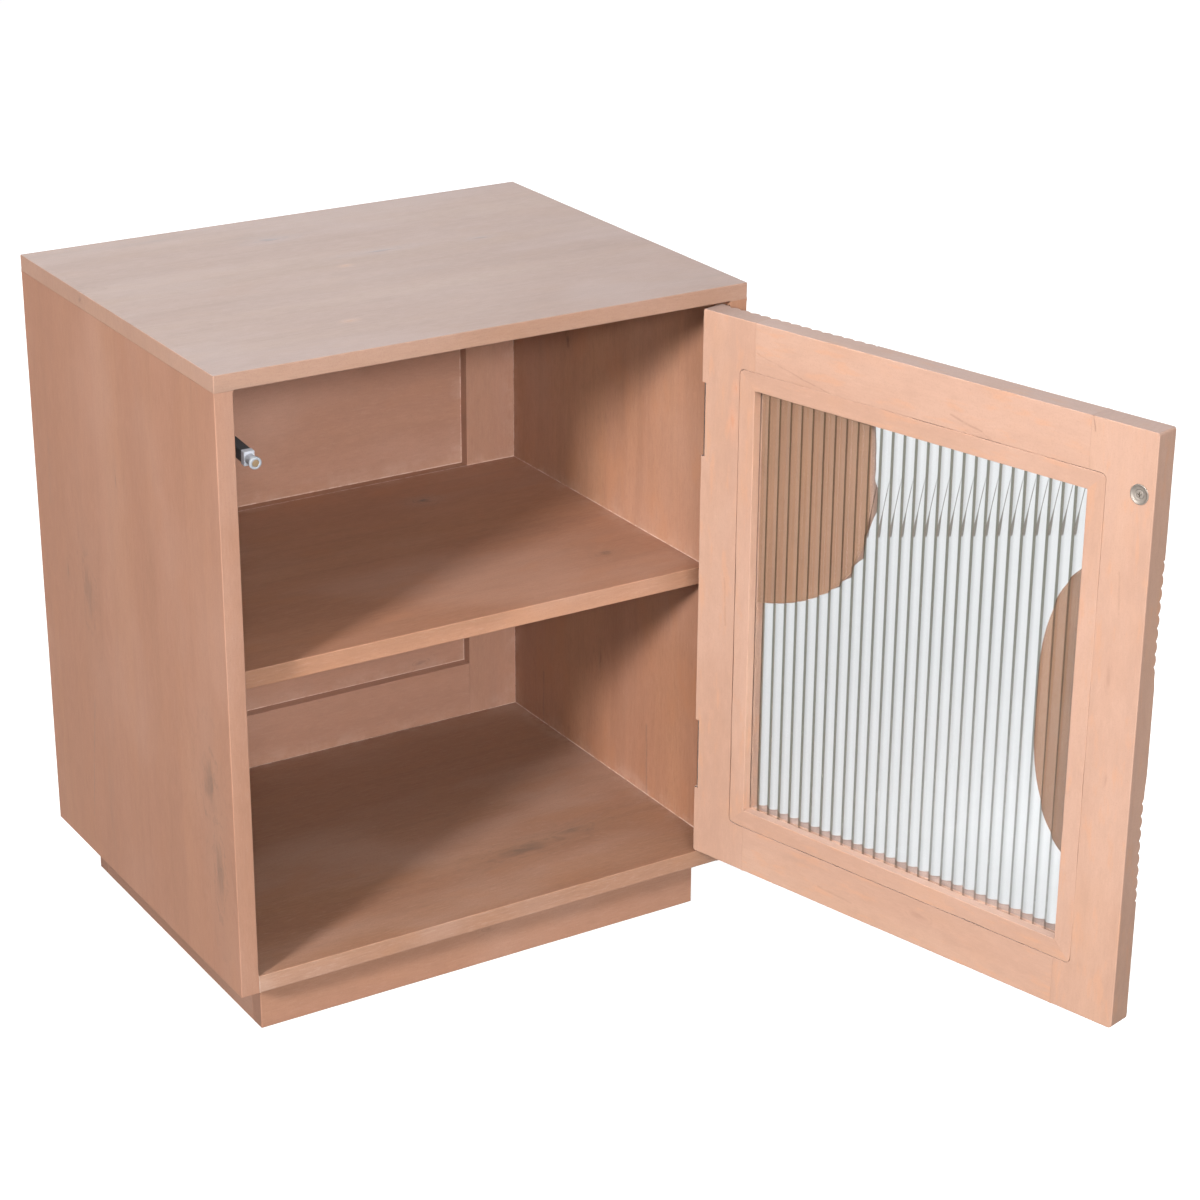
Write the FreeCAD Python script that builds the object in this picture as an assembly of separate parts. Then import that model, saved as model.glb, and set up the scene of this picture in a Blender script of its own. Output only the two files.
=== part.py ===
import FreeCAD, Part
import math
import os

V = FreeCAD.Vector
os.makedirs("parts", exist_ok=True)

# ---------------------------------------------------------------- driving dimensions (mm)
# Working frame: X from the carcass's left face, Y from its front plane to the back, Z from the
# underside of the carcass. On export it is shifted so that the origin lies on the floor, under
# the middle of the cabinet, with +Y to the back.
W, D, H_CARCASS = 507.0, 403.5, 558.0
H_PLINTH = 51.6
T_SIDE, T_TOP, T_BOTTOM, T_SHELF = 17.0, 14.8, 16.6, 16.7
Z_SHELF = 269.6                 # underside of the shelf
Y_SHELF = 31.5                  # set back of the shelf, the stop of the door
Z_TOP = H_CARCASS - T_TOP       # underside of the top
XL, XR = T_SIDE, W - T_SIDE     # inner faces of the side panels

# frame-and-panel back
Y_BACK, T_BACK = 374.5, 20.0
STILE_W, RAIL_W = 53.8, 56.2
PANEL_SET, T_PANEL = 11.0, 6.0
GROOVE = 8.0

# recessed plinth
PL_SIDE, PL_FRONT, PL_BACK, T_PLINTH = 29.0, 25.7, 22.5, 17.0
BLOCK, BLOCK_H = 26.0, 45.0

# door, closed: u runs from the hinge edge to the free edge, v from the inner face outwards
DOOR_W, DOOR_T = 465.0, 23.0
DOOR_Z0, DOOR_Z1 = 18.84, 541.13
GAP_HINGE = 2.8
XH, YI = XR - GAP_HINGE, 31.0
ST_H, ST_F = 60.0, 62.0         # stile widths
RB, RT = 61.16, 61.13           # rail widths
SIGHT = (60.0, 403.0, 80.0, 480.0)      # window u0, u1, z0, z1
REBATE, LIP = 17.0, 9.0         # width of the glazing rebate, thickness of the front lip
BEAD_T, R_CORNER = 9.0, 5.0
TEN_T, TEN_L = 8.0, 30.0

# reeded glass
GLASS_BACK, GLASS_CREST, REED_DEPTH = 13.95, 9.05, 1.2
REED_PITCH, REED_PHASE = 12.2, 69.0

# carved pebbles: centre u, centre z, half axes, exponent, tilt (rad), number of rings
PEBBLE_UP = (-60.0, 509.9, 235.6, 241.3, 3.68, 0.089, 16)
PEBBLE_SIDE = (465.0, 280.5, 104.0, 150.0, 2.62, 0.0, 9)
RING_STEP, RING_DEPTH, RING_HALF = 11.25, 2.6, 2.8

# butt hinges
PIN = (XR - 3.8, 6.15)
HINGE_Z = (118.0, 441.0)
LEAF_H, LEAF_T, MORTISE_H, MORTISE_D = 67.4, 1.5, 68.0, 4.5
R_KNUCKLE, R_PIN, R_PIN_RUN = 3.2, 1.5, 1.55
OPEN_DEG = 104.65               # the door stands open this far when the part is at rest

# push latch
TIP = (35.4, 3.1, 477.8)
DROOP_DEG = 4.4
R_RING, R_NECK, R_MAGNET = 5.4, 3.3, 3.1
# width and height of the sections
COLLAR, SLIDER, BORE, HOUSING = (8.8, 11.6), (8.6, 11.0), (9.3, 11.7), (14.0, 16.4)
R_SPRING_HOLE = 3.4


# ---------------------------------------------------------------- helpers
def box(x0, x1, y0, y1, z0, z1):
    return Part.makeBox(x1 - x0, y1 - y0, z1 - z0, V(x0, y0, z0))


def dbox(u0, u1, v0, v1, z0, z1):
    """A box in the closed door's own directions."""
    return box(XH - u1, XH - u0, YI - v1, YI - v0, z0, z1)


def dpt(u, v, z):
    return V(XH - u, YI - v, z)


def cyl(p, d, r, h):
    return Part.makeCylinder(r, h, p, d)


def screw(p, d, length, r_head, r_shank, recess=True):
    """Countersunk screw: the head's flat face is centred at p, the shank points along d."""
    hh = r_head - r_shank
    pts = [V(0, 0, 0), V(r_head, 0, 0), V(r_head, 0, -0.3), V(r_shank, 0, -0.3 - hh),
           V(r_shank, 0, -length + 2.5), V(0, 0, -length), V(0, 0, 0)]
    s = Part.Face(Part.makePolygon(pts)).revolve(V(0, 0, 0), V(0, 0, 1), 360)
    s = Part.makeSolid(s) if s.ShapeType != "Solid" else s
    if recess:
        a = r_head * 0.55
        for ax, ay in ((a, 0.35), (0.35, a)):
            s = s.cut(Part.makeBox(2 * ax, 2 * ay, 1.6, V(-ax, -ay, -1.1)))
    s.Placement = FreeCAD.Placement(p, FreeCAD.Rotation(V(0, 0, -1), d))
    return s


def screws(spots, d, length, r_head, r_shank):
    """(the screws, the plain solids of the holes that they fill)"""
    return ([screw(p, d, length, r_head, r_shank) for p in spots],
            [screw(p, d, length, r_head, r_shank, False) for p in spots])


def extrude_uz(pts, v0, v1):
    """A prism over a polygon in the door's plane."""
    w = Part.makePolygon([dpt(u, v0, z) for u, z in pts + pts[:1]])
    return Part.Face(w).extrude(V(0, -(v1 - v0), 0))


def ring_points(peb, k, n=720):
    """The k-th ring of a pebble, as closely spaced points of the door's plane."""
    u0, z0, a, b, e, tilt, _ = peb
    a, b = a - k * RING_STEP, b - k * RING_STEP
    c, s = math.cos(tilt), math.sin(tilt)
    out = []
    for i in range(n):
        t = 2 * math.pi * i / n
        ct, st = math.cos(t), math.sin(t)
        r = (abs(ct / a) ** e + abs(st / b) ** e) ** (-1.0 / e)
        x, y = r * ct, r * st
        out.append((u0 + x * c - y * s, z0 + x * s + y * c))
    return out


def spaced(pts, step):
    """The same line with points about one step apart, ends kept."""
    ln = [0.0]
    for p, q in zip(pts, pts[1:]):
        ln.append(ln[-1] + math.hypot(q[0] - p[0], q[1] - p[1]))
    n = max(2, int(round(ln[-1] / step)))
    out, j = [], 0
    for i in range(n + 1):
        s = ln[-1] * i / n
        while j < len(pts) - 2 and ln[j + 1] < s:
            j += 1
        f = (s - ln[j]) / max(1e-9, ln[j + 1] - ln[j])
        out.append((pts[j][0] + f * (pts[j + 1][0] - pts[j][0]),
                    pts[j][1] + f * (pts[j + 1][1] - pts[j][1])))
    return out


def runs_on_door(pts):
    """The stretches of a closed ring that cross the door, each running past its edges."""
    def inside(p):
        return -7 < p[0] < DOOR_W + 7 and DOOR_Z0 - 7 < p[1] < DOOR_Z1 + 7
    n = len(pts)
    start = next(i for i in range(n) if not inside(pts[i]))
    out, run = [], []
    for i in range(start, start + n + 1):
        p = pts[i % n]
        if inside(p):
            run.append(p)
        elif run:
            out.append(run)
            run = []
    return [r for r in out if len(r) > 3]


def groove(pts):
    """A V groove tool along a line on the door's front face, with mitred corners."""
    top = 0.5
    half = RING_HALF * (RING_DEPTH + top) / RING_DEPTH
    rows = []
    for i, p in enumerate(pts):
        q0, q1 = pts[max(0, i - 1)], pts[min(len(pts) - 1, i + 1)]
        d0 = (p[0] - q0[0], p[1] - q0[1]) if i else (q1[0] - p[0], q1[1] - p[1])
        d1 = (q1[0] - p[0], q1[1] - p[1]) if i < len(pts) - 1 else d0
        l0, l1 = math.hypot(*d0), math.hypot(*d1)
        n0, n1 = (-d0[1] / l0, d0[0] / l0), (-d1[1] / l1, d1[0] / l1)
        m = (n0[0] + n1[0], n0[1] + n1[1])
        s = 2.0 / (m[0] ** 2 + m[1] ** 2)
        m = (m[0] * s, m[1] * s)
        rows.append((dpt(p[0], DOOR_T - RING_DEPTH, p[1]),
                     dpt(p[0] + m[0] * half, DOOR_T + top, p[1] + m[1] * half),
                     dpt(p[0] - m[0] * half, DOOR_T + top, p[1] - m[1] * half)))
    def face(*q):
        return Part.Face(Part.makePolygon(list(q) + [q[0]]))
    faces = [face(*rows[0]), face(*rows[-1])]
    for a, b in zip(rows, rows[1:]):
        faces += [face(a[0], b[0], b[1], a[1]), face(a[0], b[0], b[2], a[2]),
                  face(a[1], b[1], b[2], a[2])]
    sh = Part.makeShell(faces)
    sh.sewShape()
    s = Part.makeSolid(sh)
    if s.Volume < 0:
        s.reverse()
    return s


def rings(peb, k0=0):
    out = []
    for k in range(k0, peb[-1]):
        for run in runs_on_door(ring_points(peb, k)):
            out.append(groove(spaced(run, 11.0)))
    return out


def near(tools, shape):
    bb = shape.BoundBox
    return [t for t in tools if t.BoundBox.intersect(bb)]


def cut_each(shape, tools):
    for t in near(tools, shape):
        shape = shape.cut(t)
    return shape


NODES = {}
SHIFT = V(-W / 2.0, -D / 2.0, H_PLINTH)


def put(name, solids, door=False):
    """Keeps a node, moved into the part's frame; the door's nodes are swung open."""
    if not isinstance(solids, (list, tuple)):
        solids = [solids]
    flat = []
    for s in solids:
        flat += s.Solids
    sh = flat[0].copy() if len(flat) == 1 else Part.makeCompound([f.copy() for f in flat])
    if door:
        sh.rotate(V(PIN[0], PIN[1], 0), V(0, 0, 1), OPEN_DEG)
    sh.translate(SHIFT)
    NODES[name] = sh
    bad = [i for i, s in enumerate(sh.Solids) if not s.isValid() or s.Volume <= 0]
    bb = sh.BoundBox
    print("%-26s solids %2d faces %4d vol %10.1f  [%.1f %.1f %.1f | %.1f %.1f %.1f] %s" % (
        name, len(sh.Solids), len(sh.Faces), sh.Volume, bb.XMin, bb.YMin, bb.ZMin,
        bb.XMax, bb.YMax, bb.ZMax, "INVALID" if bad else ""))


# ---------------------------------------------------------------- carcass
top = box(0, W, 0, D, Z_TOP, H_CARCASS)
side_l = box(0, XL, 0, D, 0, Z_TOP)
side_r = box(XR, W, 0, D, 0, Z_TOP)
bottom = box(XL, XR, 0, D, 0, T_BOTTOM)
Y_PANEL = Y_BACK + PANEL_SET
shelf = box(XL, XR, Y_SHELF, Y_PANEL, Z_SHELF, Z_SHELF + T_SHELF)
for x0, x1 in ((XL, XL + STILE_W), (XR - STILE_W, XR)):
    shelf = shelf.cut(box(x0, x1, Y_BACK, Y_PANEL + 1, Z_SHELF - 1, Z_SHELF + T_SHELF + 1))

# glued dowels, each in a hole a little deeper than itself
R_DOWEL, R_HOLE = 3.97, 4.0
dowels = {"dowels_top": [], "dowels_bottom": [], "dowels_shelf": []}
holes = []
for x in (XL / 2.0, W - XL / 2.0):
    for y in (40, 121, 202, 283, 364):
        dowels["dowels_top"].append(cyl(V(x, y, Z_TOP - 24), V(0, 0, 1), R_DOWEL, 33))
        holes.append(cyl(V(x, y, Z_TOP - 24.5), V(0, 0, 1), R_HOLE, 34))
for name, z, ys in (("dowels_bottom", T_BOTTOM / 2.0, (50, 150, 250, 350)),
                    ("dowels_shelf", Z_SHELF + T_SHELF / 2.0, (62, 160, 258, 352))):
    for y in ys:
        for x, s in ((XL, 1), (XR, -1)):
            a, b = sorted((x - s * 10, x + s * 23))
            dowels[name].append(cyl(V(a, y, z), V(1, 0, 0), R_DOWEL, b - a))
            holes.append(cyl(V(a - 0.5, y, z), V(1, 0, 0), R_HOLE, b - a + 1))
top = cut_each(top, holes)
side_l = cut_each(side_l, holes)
side_r = cut_each(side_r, holes)
bottom = cut_each(bottom, holes)
shelf = cut_each(shelf, holes)

# back: two stiles, two rails with stub tongues, and a panel held in their grooves
gy0, gy1 = Y_PANEL - 0.05, Y_PANEL + T_PANEL + 0.05
b_l = box(XL, XL + STILE_W, Y_BACK, Y_BACK + T_BACK, T_BOTTOM, Z_TOP)
b_l = b_l.cut(box(XL + STILE_W - GROOVE, XL + STILE_W + 1, gy0, gy1, T_BOTTOM - 1, Z_TOP + 1))
b_r = box(XR - STILE_W, XR, Y_BACK, Y_BACK + T_BACK, T_BOTTOM, Z_TOP)
b_r = b_r.cut(box(XR - STILE_W - 1, XR - STILE_W + GROOVE, gy0, gy1, T_BOTTOM - 1, Z_TOP + 1))
px0, px1 = XL + STILE_W, XR - STILE_W
zr0, zr1 = T_BOTTOM + RAIL_W, Z_TOP - RAIL_W
rails_back = []
for z0, z1, g0, g1, t0, t1 in ((T_BOTTOM, zr0, zr0 - GROOVE, zr0 + 1, T_BOTTOM, zr0 - GROOVE - 0.2),
                               (zr1, Z_TOP, zr1 - 1, zr1 + GROOVE, zr1 + GROOVE + 0.2, Z_TOP)):
    r = box(px0, px1, Y_BACK, Y_BACK + T_BACK, z0, z1)
    r = r.cut(box(px0 - 1, px1 + 1, gy0, gy1, g0, g1))
    r = r.fuse(box(px0 - GROOVE + 0.3, px1 + GROOVE - 0.3, Y_PANEL, Y_PANEL + T_PANEL, t0, t1))
    rails_back.append(r.removeSplitter())
panel = box(px0 - GROOVE + 0.5, px1 + GROOVE - 0.5, Y_PANEL, Y_PANEL + T_PANEL,
            zr0 - GROOVE + 0.5, zr1 + GROOVE - 0.5)

# plinth: four boards, a glue block in each corner, a screw up through each block
pa, pb, pc, pd = PL_SIDE, W - PL_SIDE, PL_FRONT, D - PL_BACK
pl_front = box(pa, pb, pc, pc + T_PLINTH, -H_PLINTH, 0)
pl_back = box(pa, pb, pd - T_PLINTH, pd, -H_PLINTH, 0)
pl_left = box(pa, pa + T_PLINTH, pc + T_PLINTH, pd - T_PLINTH, -H_PLINTH, 0)
pl_right = box(pb - T_PLINTH, pb, pc + T_PLINTH, pd - T_PLINTH, -H_PLINTH, 0)
blocks, spots = [], []
for x0 in (pa + T_PLINTH, pb - T_PLINTH - BLOCK):
    for y0 in (pc + T_PLINTH, pd - T_PLINTH - BLOCK):
        blocks.append(box(x0, x0 + BLOCK, y0, y0 + BLOCK, -BLOCK_H, 0))
        spots.append(V(x0 + BLOCK / 2, y0 + BLOCK / 2, -BLOCK_H))
pl_screws, pl_holes = screws(spots, V(0, 0, 1), 56.0, 4.2, 2.1)
blocks = [cut_each(b, pl_holes) for b in blocks]
bottom = cut_each(bottom, pl_holes)

# ---------------------------------------------------------------- hinges
fixed_leaves, door_leaves, pins = [], [], []
fix_spots, door_spots = [], []
seg = LEAF_H / 5.0
for zc in HINGE_Z:
    z0 = zc - LEAF_H / 2.0
    fl = box(XR - LEAF_T, XR, PIN[1], 30.0, z0, z0 + LEAF_H)
    dl = box(XR - GAP_HINGE - MORTISE_D, XR - GAP_HINGE - MORTISE_D + LEAF_T, PIN[1], YI - 0.4,
             z0, z0 + LEAF_H)
    for i in range(5):
        a = z0 + i * seg + (0.15 if i else 0)
        b = z0 + (i + 1) * seg - (0.15 if i < 4 else 0)
        k = cyl(V(PIN[0], PIN[1], a), V(0, 0, 1), R_KNUCKLE, b - a)
        clear = cyl(V(PIN[0], PIN[1], a - 0.3), V(0, 0, 1), R_KNUCKLE + 0.4, b - a + 0.6)
        if i % 2:
            fl, dl = fl.cut(clear), dl.fuse(k)
        else:
            fl, dl = fl.fuse(k), dl.cut(clear)
    fl = fl.cut(cyl(V(PIN[0], PIN[1], z0 - 1), V(0, 0, 1), R_PIN, LEAF_H + 2))
    dl = dl.cut(cyl(V(PIN[0], PIN[1], z0 - 1), V(0, 0, 1), R_PIN_RUN, LEAF_H + 2))
    pin = cyl(V(PIN[0], PIN[1], z0), V(0, 0, 1), R_PIN, LEAF_H)
    for zz, s in ((z0 + LEAF_H, 1), (z0, -1)):
        pin = pin.fuse(Part.makeCone(1.7, 1.1, 0.7, V(PIN[0], PIN[1], zz), V(0, 0, s)))
    pins.append(pin.removeSplitter())
    for dz, y in ((-24.0, 17.5), (0.0, 22.5), (24.0, 17.5)):
        fix_spots.append(V(XR - LEAF_T, y, zc + dz))
        door_spots.append(V(XR - GAP_HINGE - MORTISE_D + LEAF_T, y, zc + dz))
    fixed_leaves.append(fl)
    door_leaves.append(dl)
fix_screws, fix_holes = screws(fix_spots, V(1, 0, 0), 15.0, 3.4, 1.7)
dr_screws, dr_holes = screws(door_spots, V(-1, 0, 0), 16.0, 3.4, 1.7)
fixed_leaves = [cut_each(f.removeSplitter(), fix_holes) for f in fixed_leaves]
door_leaves = [cut_each(f.removeSplitter(), dr_holes) for f in door_leaves]
side_r = cut_each(side_r, fix_holes)

# ---------------------------------------------------------------- door
su0, su1, sz0, sz1 = SIGHT
ru0, ru1, rz0, rz1 = su0 - REBATE, su1 + REBATE, sz0 - REBATE, sz1 + REBATE
VL = DOOR_T - LIP               # v of the lip's back face


def rounded(u0, u1, z0, z1, v0, v1, r):
    b = dbox(u0, u1, v0, v1, z0, z1)
    e = [x for x in b.Edges if abs(x.Vertexes[0].Y - x.Vertexes[1].Y) > 1e-6]
    return b.makeFillet(r, e)


rebate = rounded(ru0, ru1, rz0, rz1, -1.0, VL, R_CORNER)
tv0, tv1 = (DOOR_T - TEN_T) / 2.0, (DOOR_T + TEN_T) / 2.0
tenons = []
for z0, z1 in ((DOOR_Z0 + 7, rz0 - 6), (rz1 + 6, DOOR_Z1 - 7)):
    tenons.append((z0, z1))
stile_h = dbox(0, su0, 0, DOOR_T, DOOR_Z0, DOOR_Z1)
stile_f = dbox(su1, DOOR_W, 0, DOOR_T, DOOR_Z0, DOOR_Z1)
rail_b = dbox(su0, su1, 0, DOOR_T, DOOR_Z0, sz0)
rail_t = dbox(su0, su1, 0, DOOR_T, sz1, DOOR_Z1)
for (z0, z1), name in zip(tenons, "bt"):
    t = dbox(su0 - TEN_L, su1 + TEN_L, tv0, tv1, z0, z1)
    hole = dbox(su0 - TEN_L - 0.5, su1 + TEN_L + 0.5, tv0, tv1, z0, z1)
    stile_h, stile_f = stile_h.cut(hole), stile_f.cut(hole)
    if name == "b":
        rail_b = rail_b.fuse(t).removeSplitter()
    else:
        rail_t = rail_t.fuse(t).removeSplitter()
stile_h, stile_f = stile_h.cut(rebate), stile_f.cut(rebate)
rail_b, rail_t = rail_b.cut(rebate), rail_t.cut(rebate)
for zc in HINGE_Z:
    stile_h = stile_h.cut(dbox(-1, MORTISE_D, -1, DOOR_T + 1, zc - MORTISE_H / 2, zc + MORTISE_H / 2))
stile_h = cut_each(stile_h, dr_holes)

# strike: a dished cup washer let into the free stile, with a countersunk screw
ST_U, ST_Z, R_STRIKE = 451.0, 488.0, 8.5
stile_f = stile_f.cut(cyl(dpt(ST_U, -1, ST_Z), V(0, -1, 0), R_STRIKE, 2.5))
cup = cyl(dpt(ST_U, -0.7, ST_Z), V(0, -1, 0), R_STRIKE, 2.2)
cup = cup.makeChamfer(0.5, [e for e in cup.Edges if abs(e.BoundBox.YMin - (YI + 0.7)) < 1e-4 and e.BoundBox.YLength < 1e-4])
cup = cup.cut(Part.makeCone(7.2, 4.6, 0.9, dpt(ST_U, -0.7, ST_Z), V(0, -1, 0)))
st_screws, st_holes = screws([dpt(ST_U, 0.05, ST_Z)], V(0, -1, 0), 17.0, 3.9, 1.9)
cup = cup.cut(st_holes[0])
stile_f = stile_f.cut(st_holes[0])

# carved rings across the front of the frame and of the two pebbles
rings_up, rings_side = rings(PEBBLE_UP), rings(PEBBLE_SIDE)
stile_h = cut_each(stile_h, rings_up)
rail_t = cut_each(rail_t, rings_up)
stile_f = cut_each(stile_f, rings_side)


def pebble(peb):
    pts = [dpt(u, VL - 1, z) for u, z in ring_points(peb, 0, 96)]
    c = Part.BSplineCurve()
    c.interpolate(Points=pts, PeriodicFlag=True)
    s = Part.Face(Part.Wire(c.toShape())).extrude(V(0, -(LIP + 2), 0))
    return s.common(dbox(su0, su1, VL, DOOR_T, sz0, sz1))


inlay_up = cut_each(pebble(PEBBLE_UP), rings(PEBBLE_UP, 1))
inlay_side = cut_each(pebble(PEBBLE_SIDE), rings(PEBBLE_SIDE, 1))

# reeded glass: flat towards the front, convex reeds towards the inside
gu0, gu1, gz0, gz1 = ru0 + 1.0, ru1 - 1.0, rz0 + 1.5, rz1 - 1.5
cusp_v = GLASS_CREST + REED_DEPTH
k0 = int(math.ceil((gu0 - REED_PHASE) / REED_PITCH))
k1 = int(math.floor((gu1 - REED_PHASE) / REED_PITCH))
cusps = [REED_PHASE + REED_PITCH * k for k in range(k0, k1 + 1)]
edges = []


def seg_line(a, b):
    if math.hypot(a[0] - b[0], a[1] - b[1]) > 1e-6:
        edges.append(Part.LineSegment(dpt(a[0], a[1], gz0), dpt(b[0], b[1], gz0)).toShape())


seg_line((gu0, GLASS_BACK), (gu0, cusp_v))
seg_line((gu0, cusp_v), (cusps[0], cusp_v))
for a, b in zip(cusps, cusps[1:]):
    edges.append(Part.Arc(dpt(a, cusp_v, gz0), dpt((a + b) / 2, GLASS_CREST, gz0),
                          dpt(b, cusp_v, gz0)).toShape())
seg_line((cusps[-1], cusp_v), (gu1, cusp_v))
seg_line((gu1, cusp_v), (gu1, GLASS_BACK))
seg_line((gu1, GLASS_BACK), (gu0, GLASS_BACK))
glass = Part.Face(Part.Wire(edges)).extrude(V(0, 0, gz1 - gz0))
glass = glass.common(rounded(gu0 - 0.01, gu1 + 0.01, gz0 - 0.01, gz1 + 0.01, 0, DOOR_T, 5.5))

# glazing beads, mitred, with the rebate's rounded outer corners
frame_ring = rounded(ru0, ru1, rz0, rz1, 0, BEAD_T, R_CORNER).cut(
    dbox(su0, su1, -1, BEAD_T + 1, sz0, sz1))
e = 10.0
cu0, cu1, cz0, cz1 = ru0 - e, ru1 + e, rz0 - e, rz1 + e
iu0, iu1, iz0, iz1 = su0 + e, su1 - e, sz0 + e, sz1 - e
mitre = {
    "bead_top": [(cu0, cz1), (cu1, cz1), (iu1, iz1), (iu0, iz1)],
    "bead_bottom": [(cu0, cz0), (cu1, cz0), (iu1, iz0), (iu0, iz0)],
    "bead_hinge_side": [(cu0, cz0), (cu0, cz1), (iu0, iz1), (iu0, iz0)],
    "bead_free_side": [(cu1, cz0), (cu1, cz1), (iu1, iz1), (iu1, iz0)],
}
beads = {k: frame_ring.common(extrude_uz(p, -1, BEAD_T + 1)) for k, p in mitre.items()}

# brads that pin the beads to the rebate's wall
brads = []
for z in (130, 280, 430):
    brads.append(cyl(dpt(su0 - 0.2, 4.5, z), V(1, 0, 0), 0.6, 25))
    brads.append(cyl(dpt(su1 + 0.2, 4.5, z), V(-1, 0, 0), 0.6, 25))
for u in (120, 231.5, 343):
    brads.append(cyl(dpt(u, 4.5, sz0 - 0.2), V(0, 0, -1), 0.6, 25))
    brads.append(cyl(dpt(u, 4.5, sz1 + 0.2), V(0, 0, 1), 0.6, 25))
beads = {k: cut_each(b, brads) for k, b in beads.items()}
stile_h, stile_f = cut_each(stile_h, brads), cut_each(stile_f, brads)
rail_b, rail_t = cut_each(rail_b, brads), cut_each(rail_t, brads)

# ---------------------------------------------------------------- push latch
# Built straight along +Y from the tip, then tipped nose-down about the tip.
tx, ty, tz = TIP


def lbox(a, b, s):
    w, h = s[0] / 2.0, s[1] / 2.0
    return box(tx - w, tx + w, ty + a, ty + b, tz - h, tz + h)


def lcyl(a, b, r):
    return cyl(V(tx, ty + a, tz), V(0, 1, 0), r, b - a)


tip = lcyl(0, 3.0, R_RING)
tip = tip.makeChamfer(0.5, [x for x in tip.Edges if x.BoundBox.YLength < 1e-4])
tip = tip.cut(lcyl(-1, 2.2, R_MAGNET)).fuse(lcyl(2.6, 11.6, R_NECK))
tip = tip.fuse(lbox(11.5, 16.5, COLLAR)).removeSplitter()
magnet = lcyl(0.3, 2.2, R_MAGNET)
slider = lbox(16.5, 76.0, SLIDER).cut(lcyl(32.0, 77.0, R_SPRING_HOLE))
housing = lbox(60.0, 111.0, HOUSING).cut(lbox(59.0, 108.0, BORE))
plate = box(XL, XL + 3.0, ty + 60, ty + 108, tz - 15.5, tz + 15.5)
plate = plate.makeFillet(4.0, [x for x in plate.Edges
                               if abs(x.Vertexes[0].X - x.Vertexes[1].X) > 1e-6])
web = box(XL + 2.0, tx - HOUSING[0] / 2 + 0.5, ty + 62, ty + 104, tz - 5, tz + 5)
housing = housing.fuse(plate).fuse(web).removeSplitter()
la_screws, la_holes = screws([V(XL + 3.0, ty + 67, tz + 11.6), V(XL + 3.0, ty + 101, tz - 11.6)],
                             V(-1, 0, 0), 15.0, 3.0, 1.5)
housing = cut_each(housing, la_holes)
coils, wire_r, coil_r = 11, 0.4, 2.7
length = 108.0 - 32.0 - 2 * wire_r - 0.4
helix = Part.makeHelix(length / coils, length, coil_r)
prof = Part.Wire([Part.makeCircle(wire_r, V(coil_r, 0, 0), V(0, 1, 0))])
spring = Part.Wire(helix.Edges).makePipeShell([prof], True, True)
spring = spring if spring.ShapeType == "Solid" else Part.makeSolid(spring)
spring.Placement = FreeCAD.Placement(V(tx, ty + 32.0 + wire_r + 0.2, tz),
                                     FreeCAD.Rotation(V(0, 0, 1), V(0, 1, 0)))
latch = {"latch_tip": tip, "latch_magnet": magnet, "latch_slider": slider,
         "latch_housing": housing, "latch_spring": spring}
for s in list(latch.values()) + la_screws + la_holes:
    s.rotate(V(*TIP), V(1, 0, 0), DROOP_DEG)
side_l = cut_each(side_l, la_holes)

# ---------------------------------------------------------------- nodes
put("top_panel", top)
put("side_left", side_l)
put("side_right", side_r)
put("bottom_panel", bottom)
put("shelf", shelf)
put("back_stile_left", b_l)
put("back_stile_right", b_r)
put("back_rail_bottom", rails_back[0])
put("back_rail_top", rails_back[1])
put("back_panel", panel)
put("plinth_front", pl_front)
put("plinth_back", pl_back)
put("plinth_left", pl_left)
put("plinth_right", pl_right)
put("plinth_blocks", blocks)
put("plinth_screws", pl_screws)
for name, ds in dowels.items():
    put(name, ds)
put("hinge_leaf_fixed_lower", fixed_leaves[0])
put("hinge_leaf_fixed_upper", fixed_leaves[1])
put("hinge_pin_lower", pins[0])
put("hinge_pin_upper", pins[1])
put("hinge_screws_carcass", fix_screws)
put("latch_housing", housing)
put("latch_spring", spring)
put("latch_screws", la_screws)
put("latch_slider", slider)
put("latch_tip", tip)
put("latch_magnet", magnet)
put("door_stile_hinge", stile_h, True)
put("door_stile_free", stile_f, True)
put("door_rail_bottom", rail_b, True)
put("door_rail_top", rail_t, True)
put("inlay_upper", inlay_up, True)
put("inlay_side", inlay_side, True)
put("glass_pane", glass, True)
for name, b in beads.items():
    put(name, b, True)
put("bead_brads", brads, True)
put("strike_cup", cup, True)
put("strike_screw", st_screws, True)
put("hinge_leaf_door_lower", door_leaves[0], True)
put("hinge_leaf_door_upper", door_leaves[1], True)
put("hinge_screws_door", dr_screws, True)

for name, sh in NODES.items():
    sh.exportStep("parts/%s.step" % name)
print(len(NODES), "nodes")
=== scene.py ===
import math

import bpy
import numpy as np
from mathutils import Matrix, Vector


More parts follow.
